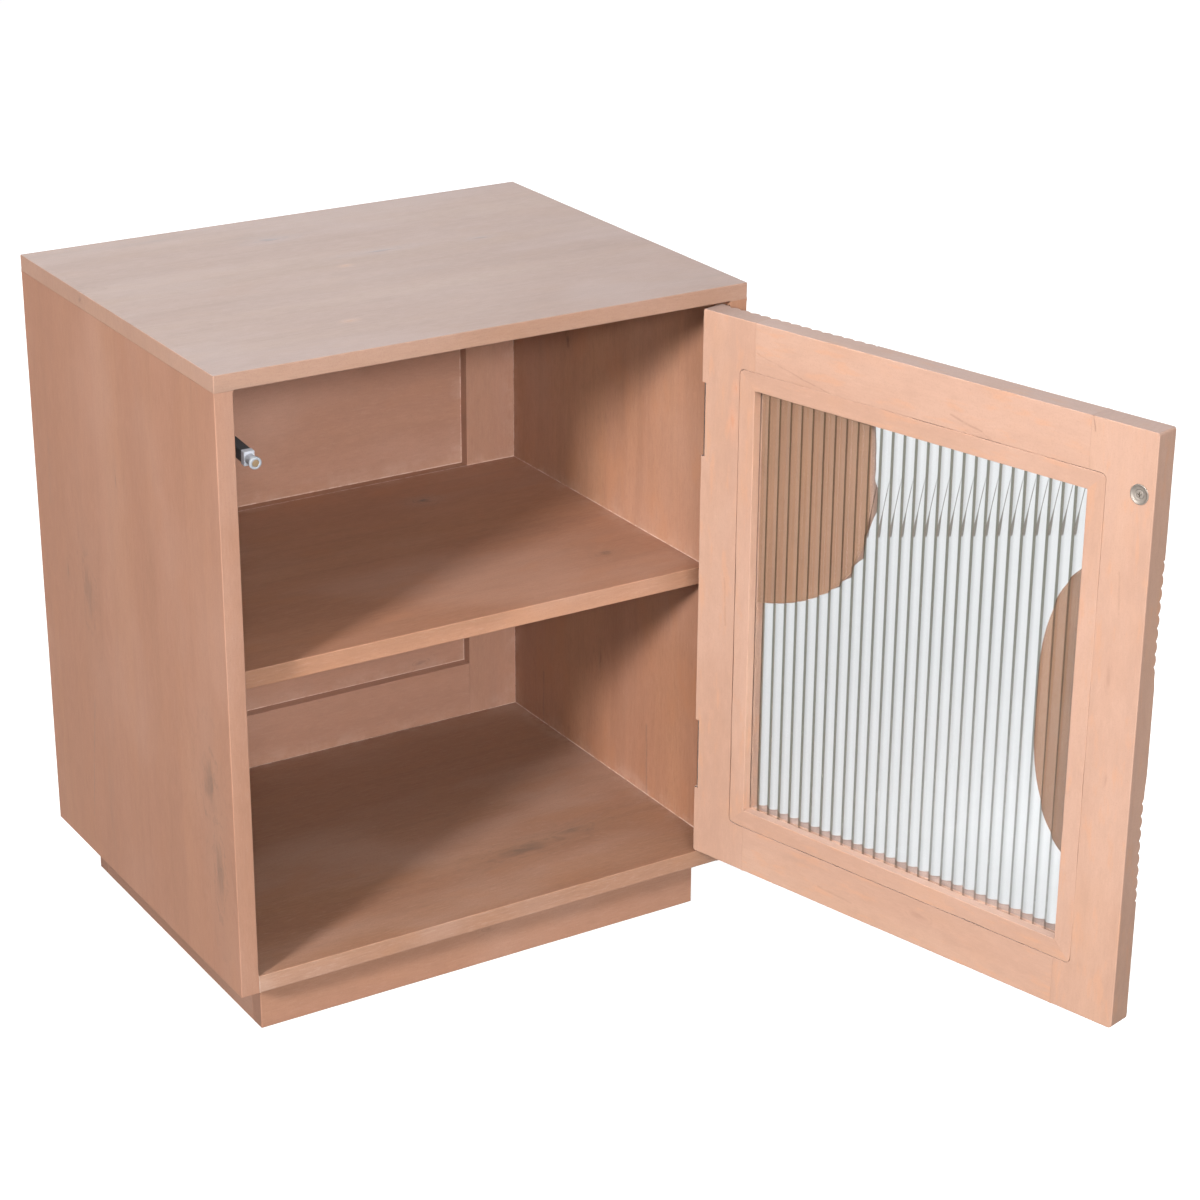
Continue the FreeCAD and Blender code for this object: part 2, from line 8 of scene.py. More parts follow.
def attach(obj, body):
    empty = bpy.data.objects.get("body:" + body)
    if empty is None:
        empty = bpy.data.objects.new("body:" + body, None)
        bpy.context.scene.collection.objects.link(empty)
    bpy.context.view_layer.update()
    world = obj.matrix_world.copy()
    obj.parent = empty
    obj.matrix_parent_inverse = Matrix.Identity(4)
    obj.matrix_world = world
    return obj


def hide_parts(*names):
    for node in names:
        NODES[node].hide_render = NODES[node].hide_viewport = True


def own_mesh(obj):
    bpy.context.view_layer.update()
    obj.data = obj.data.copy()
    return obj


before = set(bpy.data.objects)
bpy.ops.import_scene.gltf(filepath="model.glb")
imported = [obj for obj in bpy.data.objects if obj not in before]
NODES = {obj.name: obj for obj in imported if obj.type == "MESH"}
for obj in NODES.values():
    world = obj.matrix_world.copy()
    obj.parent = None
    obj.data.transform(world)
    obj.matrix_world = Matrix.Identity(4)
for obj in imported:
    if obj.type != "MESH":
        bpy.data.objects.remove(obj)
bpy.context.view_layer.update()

# ---------------------------------------------------------------- the CAD's working frame, in mm
W, D, H, HP = 507.0, 403.5, 558.0, 51.6
T_SIDE, T_TOP, T_BOTTOM, T_SHELF = 17.0, 14.8, 16.6, 16.7
XL, XR = T_SIDE, W - T_SIDE
Z_TOP, Z_SHELF, Y_SHELF = H - T_TOP, 269.6, 31.5
Y_BACK, T_BACK, STILE_W, RAIL_W, PANEL_SET, T_PANEL = 374.5, 20.0, 53.8, 56.2, 11.0, 6.0
PL_SIDE, PL_FRONT, PL_BACK, T_PL = 29.0, 25.7, 22.5, 17.0
DOOR_W, DOOR_T, DZ0, DZ1 = 465.0, 23.0, 18.84, 541.13
XH, YI = 487.2, 31.0
PIN, OPEN = (486.2, 6.15), math.radians(104.65)
SU0, SU1, SZ0, SZ1 = 60.0, 403.0, 80.0, 480.0
REBATE, VL = 17.0, 14.0
RU0, RU1, RZ0, RZ1 = SU0 - REBATE, SU1 + REBATE, SZ0 - REBATE, SZ1 + REBATE
HINGE_Z, MORTISE_H, MORTISE_D = (118.0, 441.0), 68.0, 4.5
PEB_UP = (-60.0, 509.9, 235.6, 241.3, 3.68, 0.089)
PEB_SIDE = (465.0, 280.5, 104.0, 150.0, 2.62, 0.0)
STEP, GROOVE = 11.25, 2.6
STRIKE_U, STRIKE_Z = 451.0, 488.0
TIP, DROOP = (35.4, 3.1, 477.8), math.radians(4.4)


def to_row(p):
    """Working frame in mm to the row frame in metres."""
    return (np.asarray(p, float) + (-W / 2, -D / 2, HP)) / 1000.0


def door_to_row(p):
    """The closed door's u, v, z in mm to the row frame, with the door open."""
    p = np.asarray(p, float)
    x, y = XH - p[:, 0] - PIN[0], YI - p[:, 1] - PIN[1]
    c, s = math.cos(OPEN), math.sin(OPEN)
    return to_row(np.stack([PIN[0] + c * x - s * y, PIN[1] + s * x + c * y, p[:, 2]], 1))


def latch_to_row(p):
    """The latch's own x, y, z about its tip, in mm, to the row frame, drooping."""
    p = np.asarray(p, float)
    c, s = math.cos(DROOP), math.sin(DROOP)
    return to_row(np.stack([p[:, 0], c * p[:, 1] - s * p[:, 2], s * p[:, 1] + c * p[:, 2]], 1) + TIP)


# ---------------------------------------------------------------- smooth value noise
def vnoise(p, seed=0):
    p = np.asarray(p, float)
    i = np.floor(p).astype(np.int64)
    f = p - i
    f = f * f * (3 - 2 * f)

    def h(a, b, c):
        n = (a * 374761393 + b * 668265263 + c * 1442695041 + seed * 974634777) & 0xFFFFFFFF
        n = ((n ^ (n >> 13)) * 1274126177) & 0xFFFFFFFF
        return ((n ^ (n >> 16)) & 0xFFFF) / 65535.0

    out = 0.0
    for dx in (0, 1):
        for dy in (0, 1):
            for dz in (0, 1):
                w = ((f[:, 0] if dx else 1 - f[:, 0]) * (f[:, 1] if dy else 1 - f[:, 1])
                     * (f[:, 2] if dz else 1 - f[:, 2]))
                out = out + w * h(i[:, 0] + dx, i[:, 1] + dy, i[:, 2] + dz)
    return out


def sstep(a, b, x):
    t = np.clip((np.asarray(x, float) - a) / (b - a), 0, 1)
    return t * t * (3 - 2 * t)


# ---------------------------------------------------------------- meshes
def line_marks(a, b, r, step, extra=()):
    """Grid lines between a and b: three across each rounded arris, a few beside it, and then one a step."""
    n = b - a
    ends = [r * (1 - math.tan(math.radians(t))) for t in (45, 30, 15, 0)]
    ends += [e for e in (r + 0.9, r + 2.2, r + 5.0) if e < n / 2 - 1.0]
    marks = [a + e for e in ends] + [b - e for e in ends]
    lo, hi = a + ends[-1], b - ends[-1]
    k = max(1, int(round((hi - lo) / step)))
    marks += [lo + (hi - lo) * i / k for i in range(1, k)]
    for e in extra:
        marks += [m for m in (e - 3.5, e - 1.4, e, e + 1.4, e + 3.5) if a + r + 0.3 < m < b - r - 0.3]
    marks = sorted(marks)
    out = [marks[0]]
    for m in marks[1:]:
        if m - out[-1] > 0.12 * min(1.0, r):
            out.append(m)
    out[-1] = b
    return np.array(out)


def lattice(xs, ys, zs):
    """The surface of a block of grid lines: points and quads that face outwards."""
    nx, ny, nz = len(xs), len(ys), len(zs)
    ids = -np.ones((nx, ny, nz), np.int64)
    surf = np.zeros((nx, ny, nz), bool)
    surf[[0, -1]] = surf[:, [0, -1]] = surf[:, :, [0, -1]] = True
    n = int(surf.sum())
    ids[surf] = np.arange(n)
    i, j, k = np.nonzero(surf)
    v = np.stack([xs[i], ys[j], zs[k]], 1)
    faces = []

    def side(g, flip):
        q = np.stack([g[:-1, :-1], g[1:, :-1], g[1:, 1:], g[:-1, 1:]], -1).reshape(-1, 4)
        faces.append(q[:, ::-1] if flip else q)

    side(ids[0], True), side(ids[-1], False)
    side(ids[:, 0], False), side(ids[:, -1], True)
    side(ids[:, :, 0], True), side(ids[:, :, -1], False)
    return v, np.concatenate(faces)


def rounded_block(lo, hi, r=1.1, step=16.0, extra=((), (), ()), vary=0.45, wave=0.10, seed=0,
                  rfun=None):
    """A board with softly worn, slightly uneven arrises. Never outside lo..hi."""
    lo, hi = np.array(lo, float), np.array(hi, float)
    axes = [line_marks(lo[a], hi[a], r, step, extra[a]) for a in range(3)]
    q, f = lattice(*axes)
    loc = r * (1 - vary * vnoise(q / 23.0, seed + 5) - 0.25 * vary * vnoise(q / 5.0, seed + 6))
    if rfun is not None:
        loc = np.minimum(loc, rfun(q))
    inner = np.clip(q, lo + loc[:, None], hi - loc[:, None])
    d = q - inner
    length = np.maximum(np.linalg.norm(d, axis=1), 1e-9)
    n = d / length[:, None]
    p = inner + n * loc[:, None]
    if wave:
        p -= n * (wave * vnoise(q / 60.0, seed + 9))[:, None]
    return p, f


def arris(p, lo, hi, reach=3.0):
    """1 along the arrises of a block, 0 further in than reach."""
    d = np.sort(np.minimum(p - lo, hi - p), axis=1)
    return 1 - sstep(0.0, reach, d[:, 0] * 0.6 + d[:, 1])


def poly_mesh(name, v, f):
    me = bpy.data.meshes.new(name)
    me.from_pydata([tuple(x) for x in v], [], [tuple(int(i) for i in x) for x in f])
    me.validate()
    me.update()
    return me


def set_float(me, name, values, domain="POINT"):
    a = me.attributes.new(name, "FLOAT", domain)
    a.data.foreach_set("value", np.asarray(values, np.float32))


def set_vector(me, name, values):
    a = me.attributes.new(name, "FLOAT_VECTOR", "POINT")
    a.data.foreach_set("vector", np.asarray(values, np.float32).ravel())


def coords(me):
    co = np.empty(len(me.vertices) * 3, np.float32)
    me.vertices.foreach_get("co", co)
    return co.reshape(-1, 3).astype(float)


GRAIN = {"x": (0, 1, 2), "y": (1, 0, 2), "z": (2, 0, 1)}


def grain_coords(p, grain, seed):
    """Metres along the grain, then across it; each board has its own place in the pattern."""
    a = p[:, list(GRAIN[grain])] / 1000.0
    return a + np.array([seed * 3.71, seed * 1.93, seed * 2.57])


def wooden(me, p, grain, seed, wear, seam=None, tints=()):
    """Grain coordinates, rubbed arrises, dusty corners, end grain, and faces marked for painted light and shade tones.
    """
    set_vector(me, "gc", grain_coords(p, grain, seed))
    set_float(me, "wear", np.clip(wear, 0, 1))
    set_float(me, "seam", np.zeros(len(p)) if seam is None else np.clip(seam, 0, 1))
    nrm = np.empty(len(me.polygons) * 3, np.float32)
    me.polygons.foreach_get("normal", nrm)
    nrm = nrm.reshape(-1, 3)
    set_float(me, "endg", (np.abs(nrm[:, GRAIN[grain][0]]) > 0.72).astype(np.float32), "FACE")
    mid = np.empty(len(me.polygons) * 3, np.float32)
    me.polygons.foreach_get("center", mid)
    # marks the faces that take a painted light or shade tone
    for i, where in enumerate(tints):
        set_float(me, "tint%d" % (i + 1), where(nrm, mid.reshape(-1, 3)).astype(np.float32), "FACE")


def place(me, how):
    """Moves a mesh from its own mm into the row frame."""
    co = how(coords(me)).astype(np.float32)
    me.vertices.foreach_set("co", co.ravel())
    me.update()


def shown(name, me, body, slot, mat, *nodes, how=to_row, angle=35.0):
    place(me, how)
    for poly in (np.ones(len(me.polygons), bool),):
        me.polygons.foreach_set("use_smooth", poly)
    me.set_sharp_from_angle(angle=math.radians(angle))
    me.materials.clear()
    me.materials.append(mat)
    o = bpy.data.objects.new(name, me)
    bpy.context.scene.collection.objects.link(o)
    m = o.modifiers.new("normals", "WEIGHTED_NORMAL")
    m.mode, m.weight, m.keep_sharp = "FACE_AREA", 80, True
    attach(o, body)
    if nodes:
        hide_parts(*nodes)
    return o


def csg(me, op, tools):
    """me with each tool's mesh cut away or kept, by exact solid arithmetic. Tools are removed after."""
    o = bpy.data.objects.new("csg_base", me)
    bpy.context.scene.collection.objects.link(o)
    made = []
    for i, t in enumerate(tools):
        c = bpy.data.objects.new("csg_tool", t)
        bpy.context.scene.collection.objects.link(c)
        made.append(c)
        m = o.modifiers.new("cut%d" % i, "BOOLEAN")
        m.operation, m.solver, m.object = op, "MANIFOLD", c
    dg = bpy.context.evaluated_depsgraph_get()
    out = bpy.data.meshes.new_from_object(o.evaluated_get(dg), depsgraph=dg)
    bpy.data.objects.remove(o)
    for c in made:
        bpy.data.objects.remove(c)
    return out


def block_mesh(lo, hi):
    v, f = lattice(*[np.array([a, b], float) for a, b in zip(lo, hi)])
    return poly_mesh("tool", v, f)


def prism_mesh(outline, v0, v1, name="tool"):
    """A prism over an anticlockwise outline of (u, z) points, from v0 to v1. Built closed."""
    n = len(outline)
    a = [(u, v0, z) for u, z in outline]
    b = [(u, v1, z) for u, z in outline]
    f = [tuple(range(n)), tuple(range(2 * n - 1, n - 1, -1))]
    f += [(i + n, (i + 1) % n + n, (i + 1) % n, i) for i in range(n)]
    me = bpy.data.meshes.new(name)
    me.from_pydata(a + b, [], f)
    me.update()
    return me


def rounded_outline(u0, u1, z0, z1, r, n=8):
    out = []
    for cu, cz, a0 in ((u1 - r, z0 + r, -90), (u1 - r, z1 - r, 0), (u0 + r, z1 - r, 90), (u0 + r, z0 + r, 180)):
        for i in range(n + 1):
            t = math.radians(a0 + 90.0 * i / n)
            out.append((cu + r * math.cos(t), cz + r * math.sin(t)))
    return out


def lathe(profile, n=48, name="lathe"):
    """Turned about its own axis: profile is (radius, height) from the axis outwards and back to it."""
    v, f, rows = [], [], []
    for r, h in profile:
        if r < 1e-6:
            rows.append([len(v)] * n)
            v.append((0.0, 0.0, h))
        else:
            rows.append(list(range(len(v), len(v) + n)))
            v += [(r * math.cos(2 * math.pi * i / n), r * math.sin(2 * math.pi * i / n), h) for i in range(n)]
    for a, b in zip(rows, rows[1:]):
        for i in range(n):
            j = (i + 1) % n
            q = [a[i], a[j], b[j], b[i]]
            q = [x for m, x in enumerate(q) if x != q[m - 1]]
            if len(q) > 2:
                f.append(q[::-1])
    return np.array(v), f


# ---------------------------------------------------------------- materials
class Tree:
    """Short names for building a node tree."""

    def __init__(self, name):
        self.mat = bpy.data.materials.new(name)
        self.mat.use_nodes = True
        self.t = self.mat.node_tree
        self.t.nodes.clear()

    def node(self, kind, ins=None, **props):
        n = self.t.nodes.new(kind)
        for k, v in props.items():
            setattr(n, k, v)
        for k, v in (ins or {}).items():
            self.feed(n.inputs[k], v)
        return n

    def feed(self, socket, v):
        if isinstance(v, bpy.types.NodeSocket):
            self.t.links.new(v, socket)
        elif v is not None:
            if socket.type == "RGBA" and len(v) == 3:
                v = (*v, 1.0)
            socket.default_value = v

    def attr(self, name, out="Fac"):
        return self.node("ShaderNodeAttribute", attribute_name=name).outputs[out]

    def math(self, op, a, b=None, c=None, clamp=False):
        n = self.node("ShaderNodeMath", operation=op, use_clamp=clamp)
        for i, v in enumerate((a, b, c)):
            if v is not None:
                self.feed(n.inputs[i], v)
        return n.outputs[0]

    def vmath(self, op, a, b=None, scale=None, out=0):
        n = self.node("ShaderNodeVectorMath", operation=op)
        self.feed(n.inputs[0], a)
        if b is not None:
            self.feed(n.inputs[1], b)
        if scale is not None:
            self.feed(n.inputs["Scale"], scale)
        return n.outputs[out]

    def stretch(self, vec, s):
        return self.vmath("MULTIPLY", vec, s)

    def noise(self, vec, detail=2.0, rough=0.5, scale=1.0, out="Fac", distortion=0.0):
        n = self.node("ShaderNodeTexNoise", {"Vector": vec, "Scale": scale, "Detail": detail,
                                             "Roughness": rough, "Distortion": distortion})
        return n.outputs[out]

    def span(self, v, a, b, c=0.0, d=1.0, smooth=True):
        n = self.node("ShaderNodeMapRange", {"Value": v, "From Min": a, "From Max": b, "To Min": c,
                                             "To Max": d})
        n.interpolation_type = "SMOOTHSTEP" if smooth else "LINEAR"
        return n.outputs[0]

    def mix(self, fac, a, b, blend="MIX"):
        n = self.node("ShaderNodeMix", data_type="RGBA", blend_type=blend)
        n.clamp_factor = True
        self.feed(n.inputs[0], fac)
        self.feed(n.inputs[6], a)
        self.feed(n.inputs[7], b)
        return n.outputs[2]

    def bump(self, height, strength, distance, normal=None):
        n = self.node("ShaderNodeBump", {"Height": height, "Strength": strength, "Distance": distance})
        if normal is not None:
            self.feed(n.inputs["Normal"], normal)
        return n.outputs[0]

    def surface(self, ins):
        b = self.node("ShaderNodeBsdfPrincipled", ins)
        o = self.node("ShaderNodeOutputMaterial")
        self.t.links.new(b.outputs[0], o.inputs["Surface"])
        return self.mat


def lin(r, g, b):
    return tuple((c / 255.0 / 12.92) if c <= 10 else ((c / 255.0 + 0.055) / 1.055) ** 2.4 for c in (r, g, b))


def scaled(c, k):
    return tuple(min(1.0, x * k) for x in c)


def wood(name, base, knots=(), streak=1.0, wash=1.0, grey=1.0, orange=0.5, bands=1.0, mottle=0.0, tints=(),
         lines=(), edge=None, seam_to=None, sheen=0.04, rough=0.60, end=0.90, worn=1.0):
    """Lime-washed hardwood. base is the middle colour; the rest are how strong each trait is on the board.
    Knots are (centre in grain coordinates, length, width, strength, colour), lines are (start, end, half
    width, strength, colour); the tint list is painted light and shade, the tones of the faces marked tint1, tint2."""
    t = Tree(name)
    gc = t.attr("gc", "Vector")
    wander = t.vmath("SUBTRACT", t.noise(t.stretch(gc, (2.6, 9.0, 9.0)), 2.0, out="Color"), (0.5, 0.5, 0.5))
    p = t.vmath("ADD", gc, t.vmath("MULTIPLY", wander, (0.03, 0.018, 0.018)))
    pulls = []
    for c, rl, rw, s, col in knots:           # the grain flows round a knot
        d = t.vmath("LENGTH", t.vmath("MULTIPLY", t.vmath("SUBTRACT", gc, c), (1 / (rl * 2.4), 1 / (rw * 3.0), 1 / (rw * 3.0))), out="Value")
        pulls.append(t.span(d, 1.0, 0.1, 0.0, 1.0))
    flow = p
    for k, (c, rl, rw, s, col) in zip(pulls, knots):
        off = t.vmath("SUBTRACT", gc, c)
        flow = t.vmath("ADD", flow, t.vmath("SCALE", t.vmath("MULTIPLY", off, (0.0, 1.0, 1.0)), scale=t.math("MULTIPLY", k, 0.9)))
    broad = t.noise(t.stretch(flow, (1.1, 24.0, 24.0)), 3.0, 0.55)
    broad2 = t.noise(t.stretch(t.vmath("ADD", flow, (5.3, 2.1, 7.7)), (1.4, 17.0, 17.0)), 2.0, 0.5)
    mid = t.noise(t.stretch(flow, (3.2, 88.0, 88.0)), 3.0, 0.6)
    fine = t.noise(t.stretch(flow, (11.0, 430.0, 430.0)), 2.0, 0.6)
    fibre = t.noise(t.stretch(flow, (46.0, 1500.0, 1500.0)), 1.0, 0.5)
    blotch = t.noise(t.stretch(p, (14.0, 30.0, 30.0)), 3.0, 0.55)
    cloud = t.noise(t.stretch(p, (3.4, 7.0, 7.0)), 3.0, 0.55)
    speck = t.noise(gc, 2.0, 0.6, scale=820.0)
    pores = t.noise(t.stretch(flow, (95.0, 620.0, 620.0)), 3.0, 0.65)
    smear = t.noise(t.stretch(p, (48.0, 95.0, 95.0)), 4.0, 0.65)

    def tone(k, r=1.0, g=1.0, b=1.0):
        return (min(1.0, base[0] * k * r), min(1.0, base[1] * k * g), min(1.0, base[2] * k * b))

    pale = tuple(x + 0.14 * (m - x) for x, m in zip(tone(1.09), (0.80, 0.72, 0.68)))
    col = t.mix(t.math("MULTIPLY", t.span(broad, 0.40, 0.66), 0.45 * bands), base, tone(0.86, 1.0, 0.98, 0.96))
    col = t.mix(t.math("MULTIPLY", t.span(broad2, 0.44, 0.66), 0.45 * bands), col, tone(1.08, 1.0, 1.03, 0.98))
    col = t.mix(t.math("MULTIPLY", t.span(mid, 0.46, 0.72), 0.24 * streak), col, tone(0.80))
    col = t.mix(t.math("MULTIPLY", t.span(fine, 0.50, 0.78), 0.14 * streak), col, tone(0.76))
    col = t.mix(t.math("MULTIPLY", t.span(pores, 0.50, 0.72), 0.24 * streak), col, tone(0.72))
    col = t.mix(t.math("MULTIPLY", t.span(pores, 0.48, 0.30), 0.16 * wash), col, scaled(pale, 1.05))
    col = t.mix(t.math("MULTIPLY", t.span(smear, 0.50, 0.68), 0.30), col, tone(0.84))
    col = t.mix(t.math("MULTIPLY", t.span(smear, 0.48, 0.32), 0.28), col, tone(1.12))
    # lime wash: pale clouds, and in patches pale flecks left in the pores
    col = t.mix(t.math("MULTIPLY", t.span(cloud, 0.44, 0.66), 0.34 * wash), col, pale)
    fleck = t.math("MULTIPLY", t.span(fibre, 0.58, 0.78), t.span(cloud, 0.46, 0.62))
    col = t.mix(t.math("MULTIPLY", fleck, 0.20 * wash), col, scaled(pale, 1.06))
    # blotches a few centimetres wide where the wash lets the warm wood through
    col = t.mix(t.math("MULTIPLY", t.span(blotch, 0.50, 0.70), 0.34 * orange), col, tone(1.03, 1.04, 0.97, 0.84))
    if mottle:
        m1 = t.noise(t.stretch(t.vmath("ADD", p, (1.7, 4.1, 2.9)), (26.0, 120.0, 120.0)), 3.0, 0.6)
        m2 = t.noise(t.stretch(t.vmath("ADD", p, (8.2, 0.6, 3.3)), (17.0, 75.0, 75.0)), 3.0, 0.6)
        col = t.mix(t.math("MULTIPLY", t.span(m1, 0.54, 0.68), 0.55 * mottle), col, tone(1.06, 1.08, 0.96, 0.82))
        col = t.mix(t.math("MULTIPLY", t.span(m2, 0.52, 0.72), 0.35 * mottle), col, tone(0.90, 0.98, 1.0, 1.02))
    # grey-blue weathered streaks, few and faint
    gmask = t.math("MULTIPLY", t.span(t.noise(t.stretch(flow, (3.4, 34.0, 34.0)), 4.0, 0.62), 0.58, 0.76),
                   t.span(t.noise(t.stretch(gc, (2.6, 6.5, 6.5)), 1.0), 0.50, 0.64))
    col = t.mix(t.math("MULTIPLY", gmask, 0.45 * grey), col, tone(0.86, 0.84, 1.0, 1.14))
    col = t.mix(t.math("MULTIPLY", t.span(speck, 0.48, 0.74), 0.30), col, tone(0.78))
    # knots: a soft dusky halo, thin dark swirls, a small core
    kbump = None
    for (c, rl, rw, s, kc), k in zip(knots, pulls):
        wob = t.vmath("SCALE", t.vmath("SUBTRACT", t.noise(t.stretch(gc, (60.0, 140.0, 140.0)), 3.0, out="Color"), (0.5, 0.5, 0.5)),
                      scale=rw * 1.5)
        off = t.vmath("SUBTRACT", t.vmath("ADD", gc, wob), c)
        d = t.vmath("LENGTH", t.vmath("MULTIPLY", off, (1 / rl, 1 / rw, 1 / rw)), out="Value")
        halo = t.span(d, 2.4, 0.3)
        core = t.span(d, 0.75, 0.15)
        swirl = t.math("MULTIPLY", t.span(t.math("SINE", t.math("MULTIPLY", d, 9.5)), 0.62, 1.0), t.span(d, 2.2, 0.5))
        broken = t.span(t.noise(gc, 2.0, 0.6, scale=90.0), 0.38, 0.60)
        col = t.mix(t.math("MULTIPLY", halo, 0.36 * s), col, tuple(min(1.0, 0.45 * x + 1.3 * y) for x, y in zip(base, kc)))
        col = t.mix(t.math("MULTIPLY", t.math("MULTIPLY", swirl, broken), 0.55 * s), col, kc)
        col = t.mix(t.math("MULTIPLY", core, 0.85 * s), col, kc)
        kbump = core if kbump is None else t.math("MAXIMUM", kbump, core)
    # thin lines: scratches and cracks along the grain
    if lines:
        shake = t.vmath("SCALE", t.vmath("SUBTRACT", t.noise(gc, 3.0, 0.6, out="Color", scale=60.0), (0.5, 0.5, 0.5)), scale=0.003)
        at = t.vmath("ADD", gc, shake)
        gap = t.span(t.noise(gc, 2.0, 0.6, scale=110.0), 0.30, 0.52, 0.25, 1.0)
    for a, b, hw, s, lc in lines:
        ab = Vector(b) - Vector(a)
        off = t.vmath("SUBTRACT", at, a)
        along = t.math("DIVIDE", t.vmath("DOT_PRODUCT", off, tuple(ab), out="Value"), ab.length_squared, clamp=True)
        d = t.vmath("LENGTH", t.vmath("SUBTRACT", off, t.vmath("SCALE", tuple(ab), scale=along)), out="Value")
        col = t.mix(t.math("MULTIPLY", t.math("MULTIPLY", t.span(d, hw * 1.6, hw * 0.3), gap), s), col, lc)
    # end grain
    endg = t.attr("endg")
    rings = t.noise(t.stretch(p, (4.0, 420.0, 150.0)), 3.0, 0.6)
    ecol = t.mix(t.span(rings, 0.35, 0.7), scaled(base, end), scaled(base, end * 0.88))
    col = t.mix(t.math("MULTIPLY", endg, 0.55), col, ecol)
    # arrises rubbed a little, unevenly
    wear = t.attr("wear")
    patch = t.span(t.noise(gc, 4.0, 0.6, scale=38.0), 0.36, 0.66)
    rub = t.math("MULTIPLY", t.span(wear, 0.25, 0.95), t.math("ADD", t.math("MULTIPLY", patch, 0.70), 0.20))
    col = t.mix(t.math("MULTIPLY", rub, 0.42 * worn), col, edge or tone(1.16, 1.0, 1.02, 1.02))
    # painted light and shade: the faces marked tint1, tint2 are made lighter, darker or greyer for how the lamps fall
    # on them
    for i, k in enumerate(tints):
        col = t.mix(t.attr("tint%d" % (i + 1)), col, t.vmath("MULTIPLY", col, k))
    # dust in the inside corners
    seam = t.attr("seam")
    dust = t.math("MULTIPLY", t.span(seam, 0.42, 0.85), t.span(t.noise(gc, 4.0, 0.7, scale=95.0), 0.36, 0.58, 0.18, 1.0))
    haze = t.math("MULTIPLY", t.span(seam, 0.0, 0.40), t.span(t.noise(gc, 5.0, 0.7, scale=42.0), 0.42, 0.66))
    dusty = seam_to or tuple(x + 0.50 * (m - x) for x, m in zip(scaled(base, 1.35), (0.85, 0.76, 0.68)))
    col = t.mix(t.math("MULTIPLY", haze, 0.13), col, dusty)
    col = t.mix(t.math("MULTIPLY", dust, 0.62), col, dusty)

    r = t.math("ADD", t.math("MULTIPLY", t.math("SUBTRACT", cloud, 0.5), 0.20), rough)
    r = t.math("ADD", r, t.math("MULTIPLY", fleck, 0.10))
    h = t.math("ADD", t.math("MULTIPLY", fine, 0.6), t.math("MULTIPLY", fibre, 0.4))
    n = t.bump(h, 0.14, 0.0005)
    n = t.bump(cloud, 0.10, 0.004, n)
    if kbump is not None:
        n = t.bump(kbump, 0.20, 0.0010, n)
    return t.surface({"Base Color": col, "Roughness": r, "Normal": n, "Specular IOR Level": 0.36,
                      "Sheen Weight": sheen, "Sheen Roughness": 0.45, "Sheen Tint": (0.93, 0.90, 0.90)})


def metal(name, col, rough=0.32, brush=(1, 1, 1), dirt=0.25, metallic=1.0, scale=90.0):
    """Steel or nickel with fine brushing and dull patches."""
    t = Tree(name)
    oc = t.node("ShaderNodeTexCoord").outputs["Object"]
    n1 = t.noise(t.stretch(oc, tuple(b * scale for b in brush)), 4.0, 0.6)
    n2 = t.noise(oc, 4.0, 0.6, scale=140.0)
    c = t.mix(t.math("MULTIPLY", t.span(n2, 0.42, 0.72), dirt), col, scaled(col, 0.45))
    r = t.math("ADD", t.math("MULTIPLY", n1, 0.22), rough - 0.08)
    return t.surface({"Base Color": c, "Metallic": metallic, "Roughness": r, "Normal": t.bump(n1, 0.10, 0.0002)})


def plastic(name, col, rough=0.42, spec=0.5, collar=None):
    """Moulded plastic: fine mould texture, slight dulling."""
    t = Tree(name)
    oc = t.node("ShaderNodeTexCoord").outputs["Object"]
    n1 = t.noise(oc, 3.0, 0.6, scale=1600.0)
    n2 = t.noise(oc, 3.0, 0.5, scale=180.0)
    c = t.mix(t.math("MULTIPLY", t.span(n2, 0.40, 0.70), 0.35), col, tuple(x * 0.82 + 0.012 for x in col))
    # painted light: faces marked collar take a lighter colour, standing for light that the ring's shadow takes from
    # them
    if collar:
        c = t.mix(t.attr("collar"), c, collar)
    r = t.math("ADD", t.math("MULTIPLY", n2, 0.16), rough - 0.08)
    return t.surface({"Base Color": c, "Roughness": r, "Normal": t.bump(n1, 0.12, 0.00008),
                      "Specular IOR Level": spec})


def raw_wood(name, base):
    """Unfinished wood of hidden pieces: sawn streaks along Z."""
    t = Tree(name)
    oc = t.node("ShaderNodeTexCoord").outputs["Object"]
    a = t.noise(t.stretch(oc, (220.0, 220.0, 9.0)), 4.0, 0.6)
    b = t.noise(t.stretch(oc, (700.0, 700.0, 700.0)), 2.0, 0.6)
    c = t.mix(t.math("MULTIPLY", t.span(a, 0.38, 0.70), 0.7), base, scaled(base, 0.68))
    return t.surface({"Base Color": c, "Roughness": t.math("ADD", t.math("MULTIPLY", b, 0.2), 0.62),
                      "Normal": t.bump(a, 0.3, 0.0006)})


# Middle colours of the boards (linear), from dark inside boards to the pale door.
TONE = {
    "top": (0.300, 0.168, 0.115),
    "side": (0.281, 0.136, 0.084),
    "inner": (0.380, 0.190, 0.117),
    "shelf": (0.336, 0.158, 0.092),
    "bottom": (0.258, 0.126, 0.074),
    "back": (0.402, 0.216, 0.149),
    "plinth": (0.226, 0.111, 0.071),
    "door": (0.408, 0.240, 0.171),
    # painted shade: the inlay tone darkens the inlay's face behind the glass, standing for the shade of the glass,
    # which lets the lamps through unshadowed
    "inlay": (0.189, 0.101, 0.060),
}
DARK = (0.075, 0.042, 0.030)
BLUE = (0.155, 0.125, 0.115)


def gpt(x, y, z, grain, seed):
    """A knot's centre in grain coordinates."""
    return tuple(float(c) for c in grain_coords(np.array([[x, y, z]], float), grain, seed)[0])


